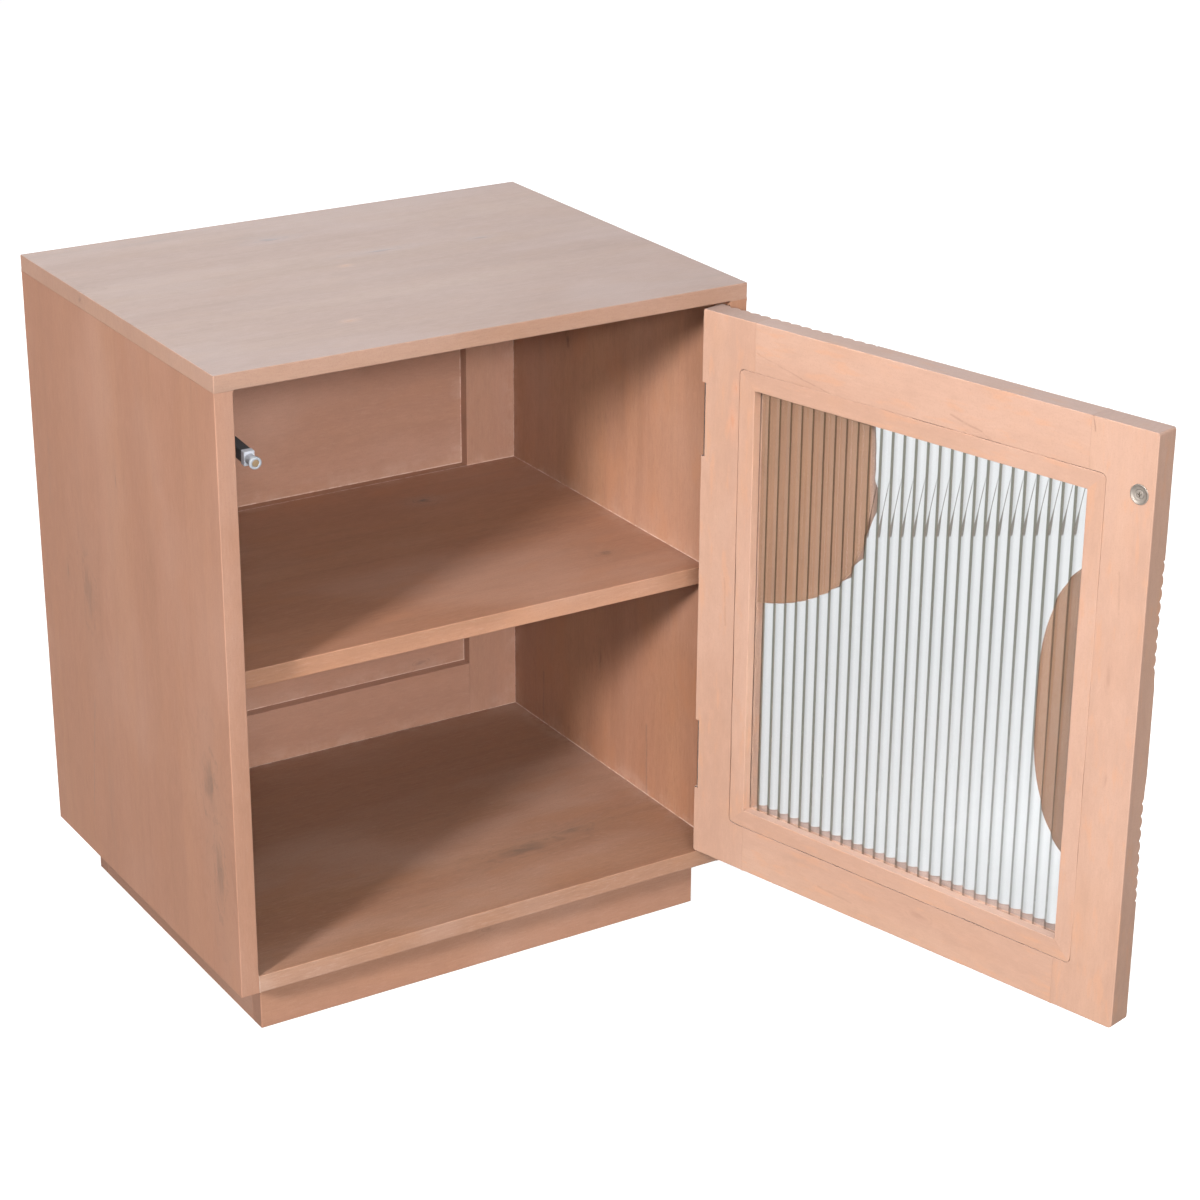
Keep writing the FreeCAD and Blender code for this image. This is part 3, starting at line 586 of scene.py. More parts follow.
# ---------------------------------------------------------------- carcass boards
def soft_joints(joints):
    """Arris radii that drop to almost nothing beside flush glued joints. A joint is (axis, place), or with
    (axis, from, to) after it, the stretch where the arris is free."""
    def radius(q):
        out = np.full(len(q), 9.0)
        for j in joints:
            near = 0.13 + 3.0 * sstep(0.8, 3.6, np.abs(q[:, j[0]] - j[1]))
            if len(j) > 2:
                near = np.where((q[:, j[2]] > j[3] + 0.01) & (q[:, j[2]] < j[4] - 0.01), 9.0, near)
            out = np.minimum(out, near)
        return out
    return radius


def board(name, lo, hi, grain, mat, seed, slot="limed_wood", r=1.1, step=16.0, extra=((), (), ()),
          seams=(), seam_where=None, joints=(), tints=(), body="carcass", wave=0.10, nodes=None, cuts=()):
    rfun = soft_joints(joints) if joints else None
    p, f = rounded_block(lo, hi, r, step, extra, wave=wave, seed=seed, rfun=rfun)
    me = poly_mesh(name, p, f)
    if cuts:
        me = csg(me, "DIFFERENCE", cuts)
        p = coords(me)
    lo, hi = np.array(lo, float), np.array(hi, float)
    seam = np.zeros(len(p))
    for axis, at, reach in seams:
        off = np.abs(p[:, axis] - at)
        seam = np.maximum(seam, np.maximum(1 - sstep(0.0, reach, off), 0.4 * (1 - sstep(1.0, 17.0, off))))
    if seam_where is not None:
        seam = seam * seam_where(p)
    wear = arris(p, lo, hi, 1.3)
    if rfun is not None:
        wear = wear * sstep(0.5, 1.2, rfun(p))
    wooden(me, p, grain, seed, wear, seam, tints)
    return shown(name, me, body, slot, mat, *(nodes or [name]))


def up_face(n, c):
    return n[:, 2] > 0.72


def front_face(n, c):
    return n[:, 1] < -0.72


KN_TOP = [
    (gpt(212, 333, 558, "x", 1), 0.020, 0.008, 0.50, BLUE),
    (gpt(281, 251, 558, "x", 1), 0.028, 0.006, 0.50, BLUE),
    (gpt(379, 243, 558, "x", 1), 0.014, 0.005, 0.35, BLUE),
    (gpt(232, 224, 558, "x", 1), 0.005, 0.003, 0.55, (0.36, 0.17, 0.09)),
    (gpt(160, 76, 558, "x", 1), 0.006, 0.003, 0.55, (0.36, 0.17, 0.09)),
    (gpt(0, 269, 551, "x", 1), 0.020, 0.007, 0.80, DARK),
]
# painted sheen: the upper face is tinted paler and greyer, standing for the reflection of the bright studio at a
# grazing angle
MAT_TOP = wood("limed_top", TONE["top"], KN_TOP, streak=1.5, wash=0.9, grey=1.0, orange=0.5, bands=1.0, sheen=0.08,
               tints=[(0.925, 1.13, 1.37)], end=0.98)
GREYLINE = (0.20, 0.125, 0.095)
SMEAR = (0.105, 0.070, 0.052)
KN_SIDE = [
    (gpt(0, 213, 404, "z", 2), 0.012, 0.003, 0.40, SMEAR),
    (gpt(0, 339, 278, "z", 2), 0.014, 0.004, 0.30, SMEAR),
    (gpt(0, 290, 272, "z", 2), 0.050, 0.018, 0.36, SMEAR),
    (gpt(0, 46, 186, "z", 2), 0.044, 0.020, 0.52, SMEAR),
    (gpt(0, 32, 108, "z", 2), 0.056, 0.016, 0.46, SMEAR),
]
LN_SIDE = [
    (gpt(0, 366, 396, "z", 2), gpt(0, 370, 335, "z", 2), 0.0022, 0.22, GREYLINE),
    (gpt(0, 293, 169, "z", 2), gpt(0, 305, 100, "z", 2), 0.0011, 0.62, GREYLINE),
    (gpt(0, 305, 100, "z", 2), gpt(0, 313, 40, "z", 2), 0.0011, 0.62, GREYLINE),
]
# painted light: the front edges are tinted lighter, as lit by the front lamp
MAT_SIDE = wood("limed_side", TONE["side"], KN_SIDE, lines=LN_SIDE, streak=1.1, wash=0.65, grey=0.8, orange=0.5, bands=1.0,
                tints=[(1.15, 1.24, 1.31)])
KN_RIGHT = [
    (gpt(490, 272, 434, "z", 3), 0.012, 0.006, 0.60, DARK),
    (gpt(490, 210, 126, "z", 3), 0.026, 0.005, 0.30, DARK),
    (gpt(507, 180, 330, "z", 3), 0.026, 0.009, 0.55, BLUE),
    (gpt(507, 300, 120, "z", 3), 0.030, 0.006, 0.40, BLUE),
]
LN_RIGHT = [
    (gpt(490, 318, 72, "z", 3), gpt(490, 318, 18, "z", 3), 0.0016, 0.45, GREYLINE),
    (gpt(490, 126, 90, "z", 3), gpt(490, 124, 16, "z", 3), 0.0015, 0.45, GREYLINE),
]
# painted light and shade: the outer face and the edges are tinted darker than the inner face, and the inner face below
# the shelf darker again, painted shade of the lower compartment
MAT_RIGHT = wood("limed_side_right", TONE["inner"], KN_RIGHT, lines=LN_RIGHT, streak=1.9, wash=0.9, grey=0.9, orange=1.5, bands=1.9,
                 tints=[(0.80, 0.80, 0.80), (0.87, 0.82, 0.79)])
KN_SHELF = [
    (gpt(352, 310, 286, "x", 4), 0.013, 0.009, 0.72, (0.11, 0.086, 0.074)),
    (gpt(429, 104, 286, "x", 4), 0.012, 0.008, 0.50, (0.13, 0.078, 0.054)),
]
# painted light: the front edge is tinted lighter, as lit by the front lamp
MAT_SHELF = wood("limed_shelf", TONE["shelf"], KN_SHELF, streak=1.9, wash=1.2, grey=1.0, orange=1.2, bands=1.5,
                 tints=[(1.08, 1.17, 1.21)])
# painted light and shade: the board is toned dark for its shaded inside, and the front edge is tinted much lighter, as
# lit
MAT_BOTTOM = wood("limed_bottom", TONE["bottom"], [(gpt(389, 96, 17, "x", 5), 0.030, 0.010, 0.50, SMEAR),
                                                   (gpt(330, 85, 17, "x", 5), 0.048, 0.015, 0.55, SMEAR)],
                  streak=1.8, wash=1.5, grey=1.1, orange=1.1, tints=[(1.25, 1.38, 1.50)])
MAT_BACK = wood("limed_back", TONE["back"], [], streak=0.8, wash=0.9, grey=0.4, orange=0.4, bands=0.8)
MAT_PANEL = wood("limed_back_panel", TONE["back"], [(gpt(386, 386, 81, "x", 6), 0.012, 0.004, 0.35, DARK),
                                                    (gpt(230, 391, 150, "x", 6), 0.030, 0.010, 0.5, BLUE)],
                 streak=0.9, wash=0.9, grey=0.4, orange=0.5, bands=0.8)
# painted light: the front face is tinted much lighter than the rest of the plinth, as lit by the front lamp
MAT_PLINTH = wood("limed_plinth", TONE["plinth"], [(gpt(258, 25, -18, "x", 7), 0.010, 0.003, 0.5, DARK)],
                  streak=1.1, wash=0.7, grey=0.6, orange=0.5, tints=[(1.46, 1.50, 1.50)])

# the upper face takes the painted sheen tone
board("top_panel", (0, 0, Z_TOP), (W, D, H), "x", MAT_TOP, 1, r=1.3, extra=((XL, XR), (), ()),
      joints=[(2, Z_TOP, 0, XL, XR)], tints=[up_face])
SIDE_SEAMS = [(2, T_BOTTOM, 1.7), (2, Z_SHELF + T_SHELF, 1.7), (2, Z_SHELF, 1.2), (1, Y_BACK, 1.5)]
SIDE_EXTRA = ((), (Y_BACK,), (T_BOTTOM, Z_SHELF, Z_SHELF + T_SHELF))
# the front edges take the painted light tone
board("side_left", (0, 0, 0), (XL, D, Z_TOP), "z", MAT_SIDE, 2, r=1.2, extra=SIDE_EXTRA, seams=SIDE_SEAMS,
      seam_where=lambda p: p[:, 0] > XL - 0.4, joints=[(2, Z_TOP), (0, XL, 2, T_BOTTOM + 1.5, H)], tints=[front_face])
# the two masks pick the faces for the painted light and shade tones of this board
board("side_right", (XR, 0, 0), (W, D, Z_TOP), "z", MAT_RIGHT, 3, r=1.2, extra=SIDE_EXTRA, seams=SIDE_SEAMS,
      seam_where=lambda p: p[:, 0] < XR + 0.4, joints=[(2, Z_TOP), (0, XR, 2, T_BOTTOM + 1.5, H)],
      tints=[lambda n, c: (n[:, 0] > 0.7) | (n[:, 1] < -0.7) | (n[:, 1] > 0.7),
             lambda n, c: (n[:, 0] < -0.7) & (c[:, 2] < Z_SHELF)])
# the front edge takes the painted light tone
board("bottom_panel", (XL, 0, 0), (XR, D, T_BOTTOM), "x", MAT_BOTTOM, 5, r=1.1,
      extra=((), (Y_BACK,), ()), seams=[(0, XL, 1.6), (0, XR, 1.6), (1, Y_BACK, 1.6)],
      joints=[(0, XL), (0, XR)], tints=[front_face])
# the front edge takes the painted light tone
board("shelf", (XL, Y_SHELF, Z_SHELF), (XR, Y_BACK + PANEL_SET, Z_SHELF + T_SHELF), "x", MAT_SHELF, 4, r=1.1,
      extra=((XL + STILE_W, XR - STILE_W), (Y_BACK,), ()),
      seams=[(0, XL, 1.7), (0, XR, 1.7), (1, Y_BACK, 1.7)], joints=[(0, XL), (0, XR)], tints=[front_face],
      cuts=[block_mesh((XL - 1, Y_BACK, Z_SHELF - 1), (XL + STILE_W, Y_BACK + 20, Z_SHELF + T_SHELF + 1)),
            block_mesh((XR - STILE_W, Y_BACK, Z_SHELF - 1), (XR + 1, Y_BACK + 20, Z_SHELF + T_SHELF + 1))])

# back frame: stiles, rails and panel
BK = [(2, T_BOTTOM, 1.6), (2, Z_SHELF + T_SHELF, 1.6)]
for nm, x0, x1, at, sd in (("back_stile_left", XL, XL + STILE_W, XL, 11), ("back_stile_right", XR - STILE_W, XR, XR, 12)):
    inner = XL + STILE_W if at == XL else XR - STILE_W
    board(nm, (x0, Y_BACK, T_BOTTOM), (x1, Y_BACK + T_BACK, Z_TOP), "z", MAT_BACK, sd, r=0.9,
          extra=((), (), (T_BOTTOM + RAIL_W, Z_SHELF, Z_SHELF + T_SHELF, Z_TOP - RAIL_W)), seams=BK + [(0, at, 1.6)], seam_where=lambda p: p[:, 1] < Y_BACK + 1.5,
          joints=[(0, inner, 2, T_BOTTOM + RAIL_W, Z_TOP - RAIL_W), (2, T_BOTTOM), (2, Z_TOP)])
for nm, z0, z1, sd in (("back_rail_bottom", T_BOTTOM, T_BOTTOM + RAIL_W, 13), ("back_rail_top", Z_TOP - RAIL_W, Z_TOP, 14)):
    board(nm, (XL + STILE_W, Y_BACK, z0), (XR - STILE_W, Y_BACK + T_BACK, z1), "x", MAT_BACK, sd, r=0.9, seams=BK,
          seam_where=lambda p: p[:, 1] < Y_BACK + 1.5,
          joints=[(0, XL + STILE_W), (0, XR - STILE_W)])
board("back_panel", (XL + STILE_W - 7.5, Y_BACK + PANEL_SET, T_BOTTOM + RAIL_W - 7.5),
      (XR - STILE_W + 7.5, Y_BACK + PANEL_SET + T_PANEL, Z_TOP - RAIL_W + 7.5), "x", MAT_PANEL, 6, r=0.6, step=20,
      extra=((XL + STILE_W, XR - STILE_W), (), (T_BOTTOM + RAIL_W, Z_SHELF + T_SHELF, Z_TOP - RAIL_W)),
      seams=[(2, Z_SHELF + T_SHELF, 1.6), (2, T_BOTTOM + RAIL_W, 1.6), (0, XL + STILE_W, 1.2), (0, XR - STILE_W, 1.2)],
      seam_where=lambda p: p[:, 1] < Y_BACK + PANEL_SET + 1.0)

# plinth
PA, PB, PC, PD = PL_SIDE, W - PL_SIDE, PL_FRONT, D - PL_BACK
# the front face takes the painted light tone
board("plinth_front", (PA, PC, -HP), (PB, PC + T_PL, 0), "x", MAT_PLINTH, 7, r=1.0, tints=[front_face])
board("plinth_back", (PA, PD - T_PL, -HP), (PB, PD, 0), "x", MAT_PLINTH, 8, r=1.0)
board("plinth_left", (PA, PC + T_PL, -HP), (PA + T_PL, PD - T_PL, 0), "y", MAT_PLINTH, 9, r=0.8)
board("plinth_right", (PB - T_PL, PC + T_PL, -HP), (PB, PD - T_PL, 0), "y", MAT_PLINTH, 10, r=0.8)


# ---------------------------------------------------------------- door
def ring_grid(peb, k0, k1, nk, t0, t1, nt):
    """Points of the pebble's rings: ks down, angles across."""
    u0, z0, a0, b0, e, tilt = peb
    ks = np.linspace(k0, k1, nk)
    ts = np.linspace(t0, t1, nt)
    k, t = np.meshgrid(ks, ts, indexing="ij")
    a, b = a0 - k * STEP, b0 - k * STEP
    ct, st = np.cos(t), np.sin(t)
    r = (np.abs(ct / a) ** e + np.abs(st / b) ** e) ** (-1.0 / e)
    x, y = r * ct, r * st
    c, s = math.cos(tilt), math.sin(tilt)
    return k, u0 + x * c - y * s, z0 + x * s + y * c


def ring_depth(k, u, z, free):
    """Depth of the carving below the door's face. The ribs are lower than the face, less so on the outermost
    rings and in the middle of the side pebble; free is the edge of an inlay, which is rounded over."""
    f = k - np.floor(k)
    crest = np.minimum(0.35 + 0.27 * np.maximum(k, 0), 1.95)
    u0, z0 = PEB_SIDE[:2]
    middle = np.hypot(np.maximum(np.abs(z - z0) - 34.75, 0), u - u0)
    crest = crest * sstep(0.0, 16.0, middle)
    groove = GROOVE * (2 * np.abs(f - 0.5)) ** 2
    groove = np.where(k > 8.5, 0.0, groove) if free == "side" else groove
    d = crest + groove
    edge = 0.35 + GROOVE
    return np.where(k < 0, edge * np.clip(1 + k / 0.09, 0, 1) - 0.35 * np.clip(-k / 0.05 - 1.8, 0, 1), d)


def sawn_line(peb, k, u, z):
    """The inner side of the upper inlay is sawn a little straighter than the ring it follows."""
    if peb is not PEB_UP:
        return u
    du = np.interp(z, [300, 330, 360, 380, 403, 414, 425, 445, 456, 470], [0.0, 3.4, 2.5, 2.8, 1.4, 0.4, -1.1, -1.0, -0.6, 0.0])
    return u + du * (1 - sstep(0.0, 4.0, k)) * sstep(110.0, 140.0, u)


def negative(peb, k1, t0, t1, nt, which, inlaid):
    """The solid of what the carver took away in front of the door: flat above, ribbed below."""
    ks = [-0.14, -0.09, -0.05, -0.02, 0.0, 0.004, 0.014, 0.032, 0.06]
    ks = np.array(ks + [0.1 * i for i in range(1, int(round(k1 * 10)) + 1)])
    u0, z0, a0, b0, e, tilt = peb
    ts = np.linspace(t0, t1, nt)
    k, t = np.meshgrid(ks, ts, indexing="ij")
    a, b = a0 - k * STEP, b0 - k * STEP
    ct, st = np.cos(t), np.sin(t)
    r = (np.abs(ct / a) ** e + np.abs(st / b) ** e) ** (-1.0 / e)
    x, y = r * ct, r * st
    c, s = math.cos(tilt), math.sin(tilt)
    u, z = u0 + x * c - y * s, z0 + x * s + y * c
    dep = ring_depth(k, u, z, which)
    if inlaid:
        u = sawn_line(peb, k, u, z)
        # rounded over like a quarter of a stick
        q = np.clip(1 - 2 * k, 0, 1)
        over = ring_depth(np.full_like(k, 0.5), u, z, which) + 7.0 * (1 - np.sqrt(1 - q * q))
        dep = np.where(k < 0.5, np.where(k < 0, 8.0, over), dep)
    # the knife's line wanders a little in depth along each ring
    wob = vnoise(np.stack([u.ravel() / 18, z.ravel() / 18, k.ravel() * 0.7], 1), 31).reshape(k.shape)
    dep = np.where(k >= 0, np.maximum(dep * (0.88 + 0.12 * wob), 0.03), dep)
    low = DOOR_T - dep
    top = np.full(k.shape, DOOR_T + 2.0)
    nk = len(ks)
    v = np.concatenate([np.stack([u, low, z], -1).reshape(-1, 3), np.stack([u, top, z], -1).reshape(-1, 3)])
    idx = np.arange(nk * nt).reshape(nk, nt)
    hi = idx + nk * nt
    q = lambda g: np.stack([g[:-1, :-1], g[1:, :-1], g[1:, 1:], g[:-1, 1:]], -1).reshape(-1, 4)
    f = [q(idx)[:, ::-1], q(hi)]
    for e0, e1 in ((idx[0], hi[0]), (hi[-1], idx[-1]), (hi[:, 0], idx[:, 0]), (idx[:, -1], hi[:, -1])):
        f.append(np.stack([e0[:-1], e0[1:], e1[1:], e1[:-1]], -1))
    me = poly_mesh("tool", v, np.concatenate(f))
    return me


def fixed_normals(me):
    """Turns a closed tool the right way out."""
    import bmesh
    bm = bmesh.new()
    bm.from_mesh(me)
    bmesh.ops.recalc_face_normals(bm, faces=bm.faces)
    bm.to_mesh(me)
    bm.free()
    return me


UP_T = (math.radians(-100), math.radians(20))
SIDE_T = (math.radians(80), math.radians(280))


def neg_up(inlaid=False):
    return fixed_normals(negative(PEB_UP, 16.4, *UP_T, 150, "up", inlaid))


def neg_side(inlaid=False):
    return fixed_normals(negative(PEB_SIDE, 9.2, *SIDE_T, 150, "side", inlaid))


def outline_of(peb, n=260):
    k, u, z = ring_grid(peb, 0, 0, 1, 0, 2 * math.pi * (1 - 1 / n), n)
    return list(zip(sawn_line(peb, k, u, z)[0], z[0]))


def rebate_tool():
    return fixed_normals(prism_mesh(rounded_outline(RU0, RU1, RZ0, RZ1, 5.0), -1.0, VL))


def joint_soft(at, small=0.15, reach=4.0):
    """Arris radius that drops to small beside the joint plane u = at."""
    return lambda q: small + 2.0 * sstep(1.0, reach, np.abs(q[:, 0] - at))


def free_edge(n, c):
    return (n[:, 0] > 0.72) & (c[:, 0] > DOOR_W - 1.0)


def member(name, lo, hi, grain, mat, seed, cuts, joints=(), r=1.2, extra=((), (), ()), corners=()):
    rf = None
    if joints:
        rf = lambda q: np.min([joint_soft(a)(q) for a in joints], axis=0)
    p, f = rounded_block(lo, hi, r, 16.0, extra, wave=0.06, seed=seed, rfun=rf)
    for cu, cz, cr in corners:            # outer corners of the door, rounded by hand
        du, dz = np.abs(p[:, 0] - cu), np.abs(p[:, 2] - cz)
        pa, pb = cr - du, cr - dz
        inside = (pa > 0) & (pb > 0)
        k = np.where(inside, np.maximum(pa, pb) / np.maximum(np.hypot(pa, pb), 1e-9), 1.0)
        su, sz = (1 if p[:, 0].mean() > cu else -1), (1 if p[:, 2].mean() > cz else -1)
        p[:, 0] = np.where(inside, cu + su * (cr - pa * k), p[:, 0])
        p[:, 2] = np.where(inside, cz + sz * (cr - pb * k), p[:, 2])
    me = poly_mesh(name, p, f)
    me = csg(me, "DIFFERENCE", cuts)
    p = coords(me)
    lo, hi = np.array(lo, float), np.array(hi, float)
    wear = arris(p, lo, hi, 1.6)
    for a in joints:                      # no rubbing at a glued joint
        wear *= sstep(1.5, 5.0, np.abs(p[:, 0] - a))
    wear *= 1 - 0.8 * (p[:, 0] > DOOR_W - 4.0)
    # the free edge and the faces looking up take the painted shade and sheen tones
    wooden(me, p, grain, seed, wear, None, [free_edge, up_face])
    return shown(name, me, "door", "limed_wood", mat, name, how=door_to_row, angle=32.0)


def dpt(u, z, grain, seed):
    return gpt(u, 0, z, grain, seed)


# painted shade and sheen: the free edge is tinted a little darker, as shaded, and faces looking up greyer, as a painted
# sheen
DOOR_SHADE_SHEEN_TINTS = [(0.94, 0.96, 0.98), (0.84, 0.97, 1.13)]
SCRATCH = (0.17, 0.088, 0.060)


def door_wood(name, seed, grain, knots=(), lines=(), **more):
    """Members of the door frame: paler and more mottled than the cabinet. Lines are (u, z) pairs on the inner face."""
    kn = [(dpt(u, z, grain, seed), rl, rw, s, c) for u, z, rl, rw, s, c in knots]
    ln = [(dpt(*a, grain, seed), dpt(*b, grain, seed), hw, s, SCRATCH) for a, b, hw, s in lines]
    return wood(name, TONE["door"], kn, lines=ln, streak=0.8, wash=0.7, grey=0.25, orange=0.6, bands=0.7, mottle=0.9,
                tints=DOOR_SHADE_SHEEN_TINTS, worn=0.8, end=0.98, **more)


MAT_STH = door_wood("limed_door_stile_hinge", 21, "z", [(36, 447, 0.012, 0.0035, 0.45, (0.42, 0.17, 0.085)), (39, 478, 0.006, 0.0022, 0.40, (0.42, 0.17, 0.085))],
                    [((31, 300), (33, 255), 0.0009, 0.22)])
MAT_STF = door_wood("limed_door_stile_free", 22, "z", [(436, 330, 0.018, 0.004, 0.22, SCRATCH), (441, 240, 0.012, 0.003, 0.22, SCRATCH)],
                    [((404.2, 541), (407, 529), 0.0006, 0.50), ((438, 420), (441, 385), 0.0009, 0.20)])
MAT_RLB = door_wood("limed_door_rail_bottom", 23, "x", [(262, 48, 0.018, 0.005, 0.22, SCRATCH)],
                    [((150, 36), (188, 33), 0.0009, 0.20)])
MAT_RLT = door_wood("limed_door_rail_top", 24, "x", [(296, 497, 0.017, 0.006, 0.25, SCRATCH)],
                    [((62.5, 514.5), (110.4, 503.3), 0.0006, 0.24), ((110.4, 503.3), (143.3, 496.9), 0.0006, 0.30),
                     ((268, 509), (300, 502), 0.0009, 0.30), ((300, 502), (320, 489), 0.0009, 0.30)])
# painted light and sheen: the bead's side faces are tinted lighter, as if lit, and those looking up greyer, as a
# painted sheen
MAT_BEAD = wood("limed_door_bead", TONE["door"], [], streak=0.7, wash=0.7, grey=0.2, orange=0.8, bands=0.6, mottle=0.9,
                tints=[(1.15, 1.13, 1.10), (0.95, 1.0, 1.05)])
# painted shade: the face toward the glass takes the darker inlay tone
MAT_INLAY = wood("limed_inlay", TONE["door"], [], streak=0.9, wash=0.3, grey=0.3, orange=0.5, bands=1.0,
                 tints=[tuple(a / b for a, b in zip(TONE["inlay"], TONE["door"]))])

mort = [block_mesh((-1, -1, z - MORTISE_H / 2), (MORTISE_D, DOOR_T + 1, z + MORTISE_H / 2)) for z in HINGE_Z]
sv, sf = lathe([(0, -1), (8.5, -1), (8.5, 1.5), (0, 1.5)], 64)
strike_hole = fixed_normals(poly_mesh("tool", np.stack([STRIKE_U + sv[:, 0], sv[:, 2], STRIKE_Z + sv[:, 1]], 1), sf))
member("door_stile_hinge", (0, 0, DZ0), (SU0, DOOR_T, DZ1), "z", MAT_STH, 21,
       [rebate_tool()] + mort + [neg_up()], joints=(SU0,), corners=[(0, DZ0, 2.2), (0, DZ1, 2.2)])
member("door_stile_free", (SU1, 0, DZ0), (DOOR_W, DOOR_T, DZ1), "z", MAT_STF, 22,
       [rebate_tool(), strike_hole, neg_side()], joints=(SU1,), corners=[(DOOR_W, DZ0, 4.2), (DOOR_W, DZ1, 2.6)])
member("door_rail_bottom", (SU0, 0, DZ0), (SU1, DOOR_T, SZ0), "x", MAT_RLB, 23, [rebate_tool()], joints=(SU0, SU1))
member("door_rail_top", (SU0, 0, SZ1), (SU1, DOOR_T, DZ1), "x", MAT_RLT, 24, [rebate_tool(), neg_up()], joints=(SU0, SU1))


def inlay(name, peb, neg, seed):
    me = fixed_normals(prism_mesh(outline_of(peb), VL + 0.02, DOOR_T + 1.0, name))
    me = csg(me, "INTERSECT", [block_mesh((SU0 + 0.1, VL - 1, SZ0 + 0.1), (SU1 - 0.1, DOOR_T - 0.02, SZ1 - 0.1))])
    me = csg(me, "DIFFERENCE", [neg])
    p = coords(me)
    # the face toward the glass is marked for the painted shade tone
    wooden(me, p, "z", seed, np.zeros(len(p)), None, [lambda n, c: n[:, 1] < -0.9])
    return shown(name, me, "door", "limed_wood", MAT_INLAY, name, how=door_to_row, angle=32.0)


inlay("inlay_upper", PEB_UP, neg_up(True), 25)
inlay("inlay_side", PEB_SIDE, neg_side(True), 26)


# glazing beads: bars with worn arrises, mitred, and their outer corners rounded
def bead(name, side, seed):
    horizontal = side in ("top", "bottom")
    length = (RU1 - RU0) if horizontal else (RZ1 - RZ0)
    gap = 0.12
    q, f = rounded_block((0, 0, 0), (length, REBATE - gap, 9.0), 0.9, 12.0, vary=0.6, wave=0.05, seed=seed,
                         rfun=lambda q: 0.14 + 2.0 * sstep(0.5, 3.0, np.minimum(q[:, 0], length - q[:, 0])))
    s, w, h = q[:, 0], q[:, 1] + gap, q[:, 2]
    t = s / length
    s = w + t * (length - 2 * w)                       # mitred ends
    s = np.where(t < 0.5, s + 0.02, s - 0.02)
    # the outer edge wanders by a few tenths, as the hand-fitted gap does
    w = w + 0.7 * (1 - w / REBATE) * vnoise(np.stack([s / 34, w * 0, h * 0], 1), seed + 3) ** 2
    out_s, out_w = s.copy(), w.copy()
    for end in (0, 1):
        ds = s if end == 0 else length - s
        pa, pb = 5.0 - ds, 5.0 - w
        inside = (pa > 0) & (pb > 0)
        m, ln = np.maximum(pa, pb), np.maximum(np.hypot(pa, pb), 1e-9)
        ns, nw = 5.0 - pa * m / ln, 5.0 - pb * m / ln
        out_s = np.where(inside, ns if end == 0 else length - ns, out_s)
        out_w = np.where(inside, nw, out_w)
    s, w = out_s, out_w
    v = h
    if side == "bottom":
        p = np.stack([RU0 + s, 9.0 - v, RZ0 + w], 1)
    elif side == "top":
        p = np.stack([RU0 + s, 9.0 - v, RZ1 - w], 1)
    elif side == "hinge":
        p = np.stack([RU0 + w, 9.0 - v, RZ0 + s], 1)
    else:
        p = np.stack([RU1 - w, 9.0 - v, RZ0 + s], 1)
    me = fixed_normals(poly_mesh(name, p, f))
    p = coords(me)
    wear = arris(q, np.zeros(3), np.array([length, REBATE - gap, 9.0]), 1.6)
    wear *= sstep(1.0, 4.0, np.minimum(q[:, 0], length - q[:, 0]))
    # the masks pick the side faces and the faces looking up for the painted light and sheen tones
    wooden(me, p, "x" if horizontal else "z", seed, wear, None,
           [lambda n, c: (np.abs(n[:, 1]) < 0.5) & (n[:, 2] < 0.5), lambda n, c: (np.abs(n[:, 1]) < 0.5) & (n[:, 2] > 0.5)])
    return shown(name, me, "door", "limed_wood", MAT_BEAD, name, how=door_to_row)


bead("bead_top", "top", 31)
bead("bead_bottom", "bottom", 32)
bead("bead_hinge_side", "hinge", 33)
bead("bead_free_side", "free", 34)


